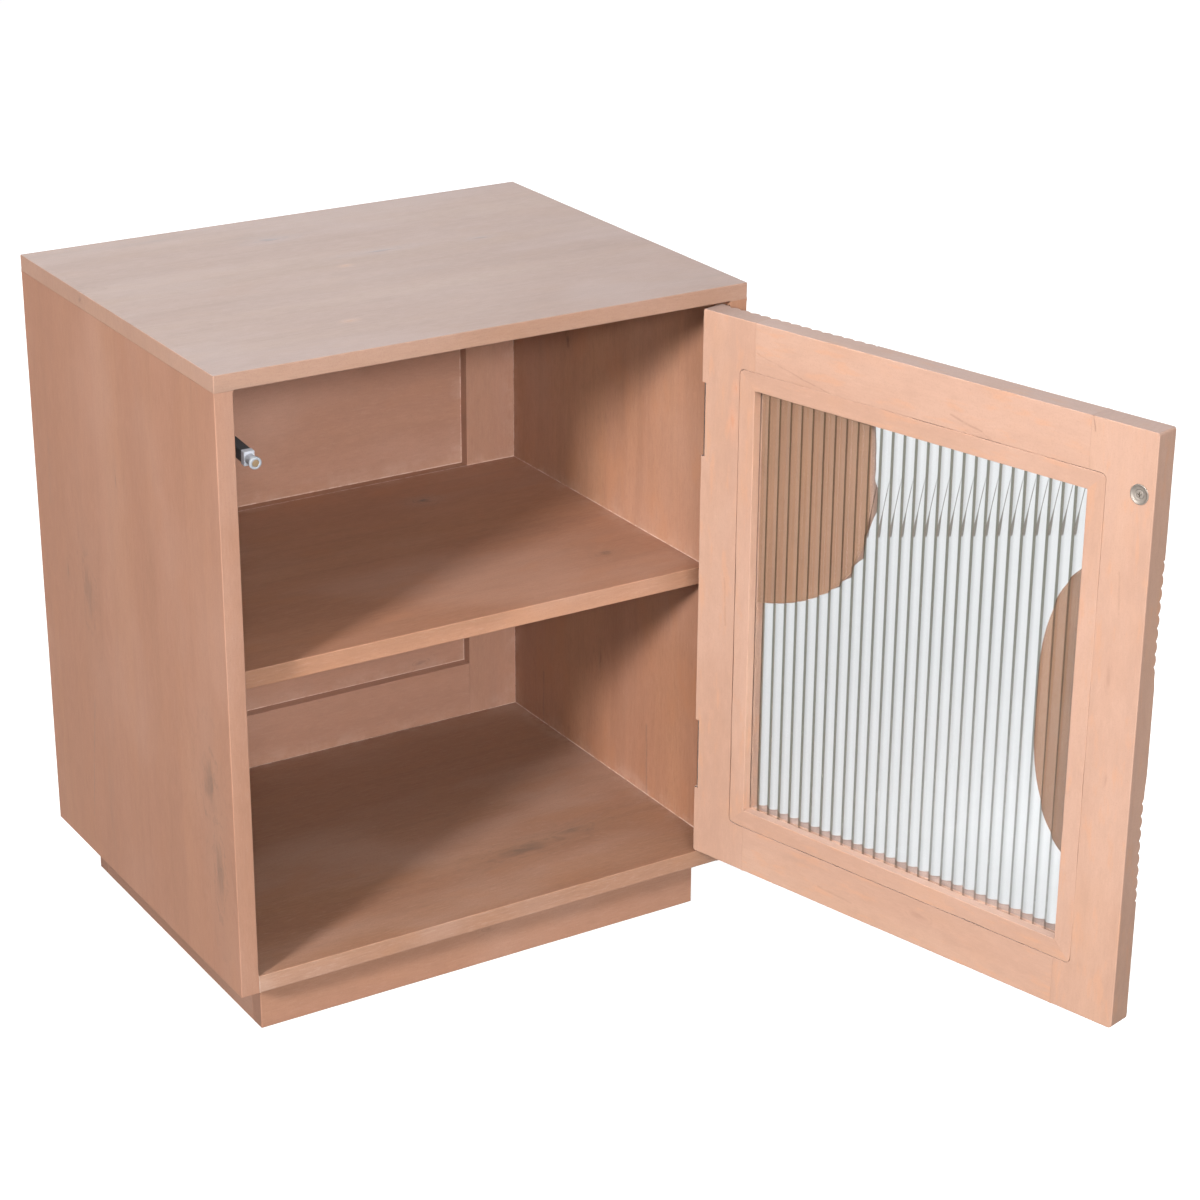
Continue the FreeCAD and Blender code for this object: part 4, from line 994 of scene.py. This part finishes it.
# ---------------------------------------------------------------- reeded glass
def glass():
    u0, u1, z0, z1 = RU0 + 1.0, RU1 - 1.0, RZ0 + 1.5, RZ1 - 1.5
    back, crest, deep, pitch, phase = 13.95, 9.05, 1.2, 12.2, 69.0
    cusp = crest + deep
    rad = ((pitch / 2) ** 2 + deep ** 2) / (2 * deep)
    us, cm = [], []
    k0, k1 = math.ceil((u0 - phase) / pitch), math.floor((u1 - phase) / pitch)
    marks = [0.0, 0.18, 0.40, 0.70, 1.05, 1.6, 2.4, 3.3, 4.2, 5.1, 6.1]
    for k in range(k0, k1):
        c = phase + pitch * k
        for m in marks[:-1]:
            us.append(c + m)
        for m in marks[::-1][:-1]:
            us.append(c + pitch - m)
    us.append(phase + pitch * k1)
    us = [u0, u0 + 2] + [u for u in us if u0 + 2.5 < u < u1 - 2.5] + [u1 - 2, u1]
    us = np.array(us)
    off = np.abs((us - phase + pitch / 2) % pitch - pitch / 2)     # distance to the nearest valley
    x = pitch / 2 - off
    v = crest + rad - np.sqrt(rad ** 2 - x ** 2)
    v = v - 0.16 * np.exp(-(off / 0.30) ** 2)                     # the valleys are pressed, not cut
    first, last = phase + pitch * k0, phase + pitch * k1
    v = np.where((us < first) | (us > last), cusp - 0.16, v)
    zs = np.linspace(z0, z1, 40)
    n, m = len(us), len(zs)
    a = np.stack(np.broadcast_arrays(us[:, None], v[:, None], zs[None, :]), -1).reshape(-1, 3)
    b = np.stack(np.broadcast_arrays(us[:, None], np.full((n, 1), back), zs[None, :]), -1).reshape(-1, 3)
    ia = np.arange(n * m).reshape(n, m)
    ib = ia + n * m
    quad = lambda g: np.stack([g[:-1, :-1], g[1:, :-1], g[1:, 1:], g[:-1, 1:]], -1).reshape(-1, 4)
    f = [quad(ia), quad(ib)[:, ::-1]]
    for e0, e1 in ((ib[0], ia[0]), (ia[-1], ib[-1]), (ia[:, 0], ib[:, 0]), (ib[:, -1], ia[:, -1])):
        f.append(np.stack([e0[:-1], e0[1:], e1[1:], e1[:-1]], -1))
    me = fixed_normals(poly_mesh("glass_pane", np.concatenate([a, b]), np.concatenate(f)))
    inside = ((us > first - 0.05) & (us < last + 0.05)).astype(float)
    set_float(me, "ribbed", np.concatenate([np.repeat(inside, m), np.zeros(n * m)]))
    p = coords(me)
    set_vector(me, "pane", np.stack([(p[:, 0] - phase) / pitch, p[:, 2], p[:, 0]], 1))
    t = Tree("reeded_glass")
    oc = t.node("ShaderNodeTexCoord").outputs["Object"]
    ribbed = t.attr("ribbed")
    sep = t.node("ShaderNodeSeparateXYZ", {"Vector": t.attr("pane", "Vector")})
    reed, zz, uu = sep.outputs[0], sep.outputs[1], sep.outputs[2]
    right = t.math("MULTIPLY", t.math("FRACT", reed), pitch)                     # mm to the right of a valley
    side = t.math("SUBTRACT", t.math("MULTIPLY", t.math("FRACT", t.math("ADD", reed, 0.5)), pitch), pitch / 2)

    def within(peb):
        """1 where this pebble lies behind the glass, seen at a slant through it."""
        u0, z0, a0, b0, e, tilt = peb
        x, y = t.math("SUBTRACT", uu, u0 + 2.4), t.math("SUBTRACT", zz, z0 + 1.2)
        c, s = math.cos(tilt), math.sin(tilt)
        xr = t.math("ADD", t.math("MULTIPLY", x, c / a0), t.math("MULTIPLY", y, s / a0))
        yr = t.math("SUBTRACT", t.math("MULTIPLY", y, c / b0), t.math("MULTIPLY", x, s / b0))
        r = t.math("ADD", t.math("POWER", t.math("ABSOLUTE", xr), e), t.math("POWER", t.math("ABSOLUTE", yr), e))
        return t.math("LESS_THAN", r, 1.0)

    # where an inlay lies behind, the painted band is narrower and lighter, standing for the shaded inlay seen through
    # the glass
    backed = t.math("MAXIMUM", within(PEB_UP), within(PEB_SIDE))
    # painted refraction: a dark band beside each valley, narrower low on the free side, standing for the dark
    # surroundings seen bent through the reeds; next to it the reed is painted greyer, as painted shade
    low = t.math("MULTIPLY", t.span(uu, 60.0, 400.0), t.span(zz, 420.0, 120.0))
    half = t.math("SUBTRACT", t.math("SUBTRACT", 1.60, t.math("MULTIPLY", low, 0.50)), t.math("MULTIPLY", backed, 0.45))
    dist = t.math("SUBTRACT", t.math("ABSOLUTE", t.math("SUBTRACT", side, 0.30)), half)
    dark = t.span(dist, 0.30, -0.34)
    shade = t.span(right, 7.2, 1.6)
    # painted refraction: higher up a brown wedge leans from each band to the right and ends as a thin line, standing
    # for dark surroundings seen through the reeds
    rise = t.math("SUBTRACT", zz, t.math("ADD", 381.5 - 0.282 * 199.2, t.math("MULTIPLY", uu, 0.282)))
    lean = t.math("SUBTRACT", right, t.math("ADD", 1.5, t.math("MULTIPLY", rise, 0.185)))
    wide = t.span(rise, 0.0, 26.0, 2.2, 0.42)
    wedge = t.math("MULTIPLY", t.span(t.math("SUBTRACT", t.math("ABSOLUTE", lean), wide), 0.30, -0.30),
                   t.math("MULTIPLY", t.span(rise, -1.5, 1.0), t.span(rise, 66.0, 34.0, 0.0, 1.0)))
    open_ = t.math("SUBTRACT", 1.0, backed)
    film = t.noise(t.stretch(oc, (14.0, 14.0, 4.0)), 3.0, 0.5)
    clear = t.mix(t.math("MULTIPLY", film, 0.5), (0.684, 0.703, 0.717), (0.724, 0.736, 0.743))
    # painted shade beside each valley, near black in the open and lighter over an inlay
    c = t.mix(t.math("MULTIPLY", shade, t.mix(backed, (0.42, 0.42, 0.42), (0.12, 0.12, 0.12))), clear, (0.02, 0.022, 0.026))
    olive = t.mix(low, (0.070, 0.068, 0.048), (0.125, 0.125, 0.115))
    c = t.mix(t.math("MULTIPLY", dark, ribbed), c, t.mix(backed, olive, (0.135, 0.140, 0.118)))
    c = t.mix(t.math("MULTIPLY", t.math("MULTIPLY", wedge, open_), t.math("MULTIPLY", ribbed, 0.94)), c, (0.064, 0.050, 0.035))
    c = t.mix(ribbed, clear, c)
    mat = t.surface({"Base Color": c, "Roughness": t.math("MULTIPLY", film, 0.03), "IOR": 1.5,
                     "Transmission Weight": 1.0, "Specular IOR Level": 0.5,
                     "Normal": t.bump(t.noise(oc, 2.0, 0.5, scale=24.0), 0.02, 0.002)})
    o = shown("glass_pane", me, "door", "reeded_glass", mat, "glass_pane", how=door_to_row, angle=50.0)
    o.visible_shadow = False
    return o


glass()

# ---------------------------------------------------------------- strike: dished washer and its screw
NICKEL = metal("dull_nickel", (0.37, 0.325, 0.285), 0.56, (1, 1, 1), 0.25, metallic=0.85)
ZINC = metal("zinc_plate", (0.66, 0.66, 0.65), 0.34, (1, 1, 1), 0.3)
STEEL = metal("hinge_steel", (0.56, 0.56, 0.56), 0.30, (1, 1, 6), 0.3)


def turned_on_door(name, profile, u, z, mat, node, cuts=(), n=72):
    """A turned piece whose axis stands on the door's inner face; heights are v."""
    v, f = lathe(profile, n)
    me = fixed_normals(poly_mesh(name, np.stack([u + v[:, 0], v[:, 2], z + v[:, 1]], 1), f))
    if cuts:
        me = csg(me, "DIFFERENCE", list(cuts))
    return shown(name, me, "door", "nickel", mat, node, how=door_to_row, angle=40.0)


cup = [(1.95, 1.49), (8.42, 1.49), (8.45, 1.3), (8.45, -0.25), (8.36, -0.45), (8.15, -0.61), (7.85, -0.69), (7.55, -0.66), (7.25, -0.52),
       (6.9, -0.28), (6.3, 0.0), (5.6, 0.14), (4.9, 0.18), (4.25, 0.20), (4.05, 0.28), (3.95, 0.42), (1.95, 1.35), (1.95, 1.49)]
turned_on_door("strike_cup", cup, STRIKE_U, STRIKE_Z, NICKEL, "strike_cup")
head = [(0, 17.0), (0.25, 16.6), (1.9, 13.6), (1.9, 2.15), (3.55, 0.55), (3.72, 0.36), (3.78, 0.22), (3.70, 0.12), (3.45, 0.07), (1.8, 0.055), (0, 0.05)]
cross = [block_mesh((STRIKE_U - 2.1, -0.6, STRIKE_Z - 0.42), (STRIKE_U + 2.1, 1.25, STRIKE_Z + 0.42)),
         block_mesh((STRIKE_U - 0.42, -0.6, STRIKE_Z - 2.1), (STRIKE_U + 0.42, 1.25, STRIKE_Z + 2.1))]
turned_on_door("strike_screw", head, STRIKE_U, STRIKE_Z, NICKEL, "strike_screw", cross)

# ---------------------------------------------------------------- push latch
# the last colour is painted light on the neck and collar
GREY = plastic("latch_grey", (0.285, 0.300, 0.325), 0.46, 0.4, (0.57, 0.59, 0.65))
BLACK = plastic("latch_black", (0.062, 0.066, 0.072), 0.50, 0.8)
HOUSE = plastic("latch_housing_grey", (0.30, 0.31, 0.33), 0.42)


def latch_block(name, a, b, size, r, seed, bore=None):
    w, h = size
    p, f = rounded_block((-w / 2, a, -h / 2), (w / 2, b, h / 2), r, 6.0, vary=0.0, wave=0.0, seed=seed)
    me = poly_mesh(name, p, f)
    if bore:
        r0, y0, y1 = bore
        v, ff = lathe([(0, y0), (r0, y0), (r0, y1), (0, y1)], 48)
        me = csg(me, "DIFFERENCE", [fixed_normals(poly_mesh("tool", np.stack([v[:, 0], v[:, 2], v[:, 1]], 1), ff))])
    return me


slider = latch_block("latch_slider", 18.3, 76.0, (8.6, 11.0), 0.7, 41, (3.4, 32.0, 77.0))
shown("latch_slider", slider, "latch_plunger", "black_plastic", BLACK, "latch_slider", how=latch_to_row, angle=40.0)
# tip: ring, neck and collar in one moulding
tp = [(0, 2.25), (3.15, 2.25), (3.15, 0.35), (3.28, 0.14), (3.5, 0.04), (4.1, 0.0), (4.75, 0.06), (5.12, 0.26), (5.32, 0.55), (5.38, 0.9),
      (5.38, 2.3), (5.30, 2.65), (5.1, 2.9), (4.8, 3.0), (4.45, 3.05), (4.3, 3.2), (4.25, 3.5), (4.25, 11.1), (4.35, 11.5), (4.35, 12.4), (0, 12.4)]
v, f = lathe(tp, 64)
tip = fixed_normals(poly_mesh("latch_tip", np.stack([v[:, 0], v[:, 2], v[:, 1]], 1), f))
collar, cf = rounded_block((-4.7, 11.75, -6.5), (4.7, 18.3, 6.0), 0.8, 4.0, vary=0.0, wave=0.0)
tip = csg(tip, "UNION", [poly_mesh("tool", collar, cf)])
# painted light: marks the neck and the collar for the lighter colour
set_float(tip, "collar", (coords(tip)[:, 1] > 5.0).astype(float))
shown("latch_tip", tip, "latch_plunger", "grey_plastic", GREY, "latch_tip", how=latch_to_row, angle=40.0)
mg = [(0, 0.32), (2.4, 0.32), (2.85, 0.36), (3.02, 0.48), (3.09, 0.7), (3.09, 2.2), (0, 2.2)]
v, f = lathe(mg, 56)
magnet = fixed_normals(poly_mesh("latch_magnet", np.stack([v[:, 0], v[:, 2], v[:, 1]], 1), f))
shown("latch_magnet", magnet, "latch_plunger", "magnet", metal("magnet_brass", (0.34, 0.24, 0.14), 0.42, (1, 1, 1), 0.25, metallic=0.45),
      "latch_magnet", how=latch_to_row, angle=40.0)


def coil_mesh(name, y0, length, coils, wire, radius):
    """A coil spring along y, closed at both wire ends."""
    n, m = coils * 28, 9
    a = np.linspace(0, 2 * math.pi * coils, n + 1)
    y = y0 + length * np.arange(n + 1) / n
    w = 2 * math.pi * np.arange(m) / m
    rr = radius + wire * np.cos(w)[None, :]
    v = np.stack([rr * np.cos(a)[:, None], y[:, None] + wire * np.sin(w)[None, :], rr * np.sin(a)[:, None]], -1).reshape(-1, 3)
    f = []
    for i in range(n):
        for j in range(m):
            k = (j + 1) % m
            f.append((i * m + j, i * m + k, (i + 1) * m + k, (i + 1) * m + j))
    me = bpy.data.meshes.new(name)
    me.from_pydata([tuple(x) for x in v], [], f + [tuple(range(m)), tuple(n * m + j for j in range(m))])
    me.update()
    return fixed_normals(me)


coil = shown("latch_spring_coil", coil_mesh("latch_spring_coil", 32.7, 74.6, 11, 0.38, 2.7), "carcass", "hinge_steel", STEEL,
             "latch_spring", how=latch_to_row, angle=60.0)
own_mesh(coil)


# ---------------------------------------------------------------- CAD pieces that keep their own shape
def finish_cad(names, mat, bevel=0.00025):
    for n in names:
        o = NODES[n]
        o.data.materials.clear()
        o.data.materials.append(mat)
        if bevel:
            m = o.modifiers.new("soft", "BEVEL")
            m.width, m.segments, m.limit_method, m.angle_limit = bevel, 2, "ANGLE", math.radians(40)
            m.use_clamp_overlap = True


RAW = raw_wood("raw_wood", (0.46, 0.31, 0.19))
finish_cad(["plinth_blocks"], RAW, 0.0008)
finish_cad(["dowels_top", "dowels_bottom", "dowels_shelf"], RAW, 0)
finish_cad(["hinge_leaf_fixed_lower", "hinge_leaf_fixed_upper", "hinge_leaf_door_lower", "hinge_leaf_door_upper",
            "hinge_pin_lower", "hinge_pin_upper"], STEEL, 0.00018)
finish_cad(["hinge_screws_carcass", "hinge_screws_door", "plinth_screws", "latch_screws", "bead_brads"], ZINC, 0)
finish_cad(["latch_housing"], HOUSE, 0.0005)

# ---------------------------------------------------------------- camera
cam_data = bpy.data.cameras.new("camera")
cam = bpy.data.objects.new("camera", cam_data)
bpy.context.scene.collection.objects.link(cam)
cam_data.sensor_fit, cam_data.sensor_width, cam_data.lens = "HORIZONTAL", 36.0, 88.5470
cam_data.clip_start, cam_data.clip_end = 0.05, 200.0
cam_data.dof.use_dof = False
right = Vector((0.8495150, -0.5275344, 0.0056327))
up = Vector((0.1975621, 0.3280079, 0.9237857))
back = -Vector((0.4891763, 0.7836570, -0.3828685))
m = Matrix((right, up, back)).transposed().to_4x4()
m.translation = Vector((-1.1596633, -2.2273271, 1.3331433))
cam.matrix_world = m
bpy.context.scene.camera = cam

# ---------------------------------------------------------------- floor, light
fl = bpy.data.meshes.new("floor")
fl.from_pydata([(-40, -40, 0), (40, -40, 0), (40, 40, 0), (-40, 40, 0)], [], [(0, 1, 2, 3)])
floor = bpy.data.objects.new("floor", fl)
bpy.context.scene.collection.objects.link(floor)
t = Tree("floor_white")
fl.materials.append(t.surface({"Base Color": (0.36, 0.36, 0.36), "Roughness": 0.8, "Specular IOR Level": 0.1,
                               "Emission Color": (1.0, 1.0, 1.0), "Emission Strength": 0.735}))
floor.visible_diffuse = floor.visible_glossy = False     # only a backdrop; the studio is not lit by it
wl = bpy.data.meshes.new("far_wall")
wl.from_pydata([(x, y, z) for z in (-0.5, 30.0) for x, y in ((-40, -40), (40, -40), (40, 40), (-40, 40))], [],
               [(0, 1, 5, 4), (1, 2, 6, 5), (2, 3, 7, 6), (3, 0, 4, 7)])
wall = bpy.data.objects.new("far_wall", wl)
bpy.context.scene.collection.objects.link(wall)
t = Tree("wall_white")
wl.materials.append(t.surface({"Base Color": (0.36, 0.36, 0.36), "Roughness": 0.8, "Specular IOR Level": 0.1,
                               "Emission Color": (1.0, 1.0, 1.0), "Emission Strength": 0.9}))
wall.visible_diffuse = wall.visible_glossy = wall.visible_shadow = False

world = bpy.data.worlds.new("studio")
bpy.context.scene.world = world
world.use_nodes = True
bg = world.node_tree.nodes["Background"]
bg.inputs["Color"].default_value = (1.0, 1.0, 1.0, 1.0)
bg.inputs["Strength"].default_value = 0.36


def sun(name, direction, strength, angle, color=(1, 1, 1)):
    d = bpy.data.lights.new(name, "SUN")
    d.energy, d.angle, d.color = strength, math.radians(angle), color
    o = bpy.data.objects.new(name, d)
    bpy.context.scene.collection.objects.link(o)
    o.rotation_euler = Vector(direction).to_track_quat("-Z", "Y").to_euler()
    return o


def soft(name, at, aim, size, power, color=(1, 1, 1)):
    d = bpy.data.lights.new(name, "AREA")
    d.shape, d.size, d.size_y, d.energy, d.color = "RECTANGLE", size[0], size[1], power, color
    o = bpy.data.objects.new(name, d)
    bpy.context.scene.collection.objects.link(o)
    o.location = at
    o.rotation_euler = (Vector(aim) - Vector(at)).to_track_quat("-Z", "Y").to_euler()
    o.visible_camera = False
    return o


soft("key", (-3.317, -1.702, 1.855), (0.05, -0.1, 0.32), (0.52, 0.52), 200.0)
sun("overhead", (0.15, 0.25, -1.0), 0.85, 60.0)
soft("front", (-1.50, -4.85, 2.34), (0.0, 0.0, 0.35), (2.2, 0.55), 252.0)
soft("behind", (0.6, 2.9, 2.1), (0.0, 0.0, 0.5), (3.0, 3.0), 60.0)
soft("right", (3.3, 0.95, 0.78), (0.0, 0.0, 0.3), (2.0, 1.3), 58.0)

bpy.context.scene.view_settings.view_transform = "Standard"
bpy.context.scene.view_settings.look = "None"
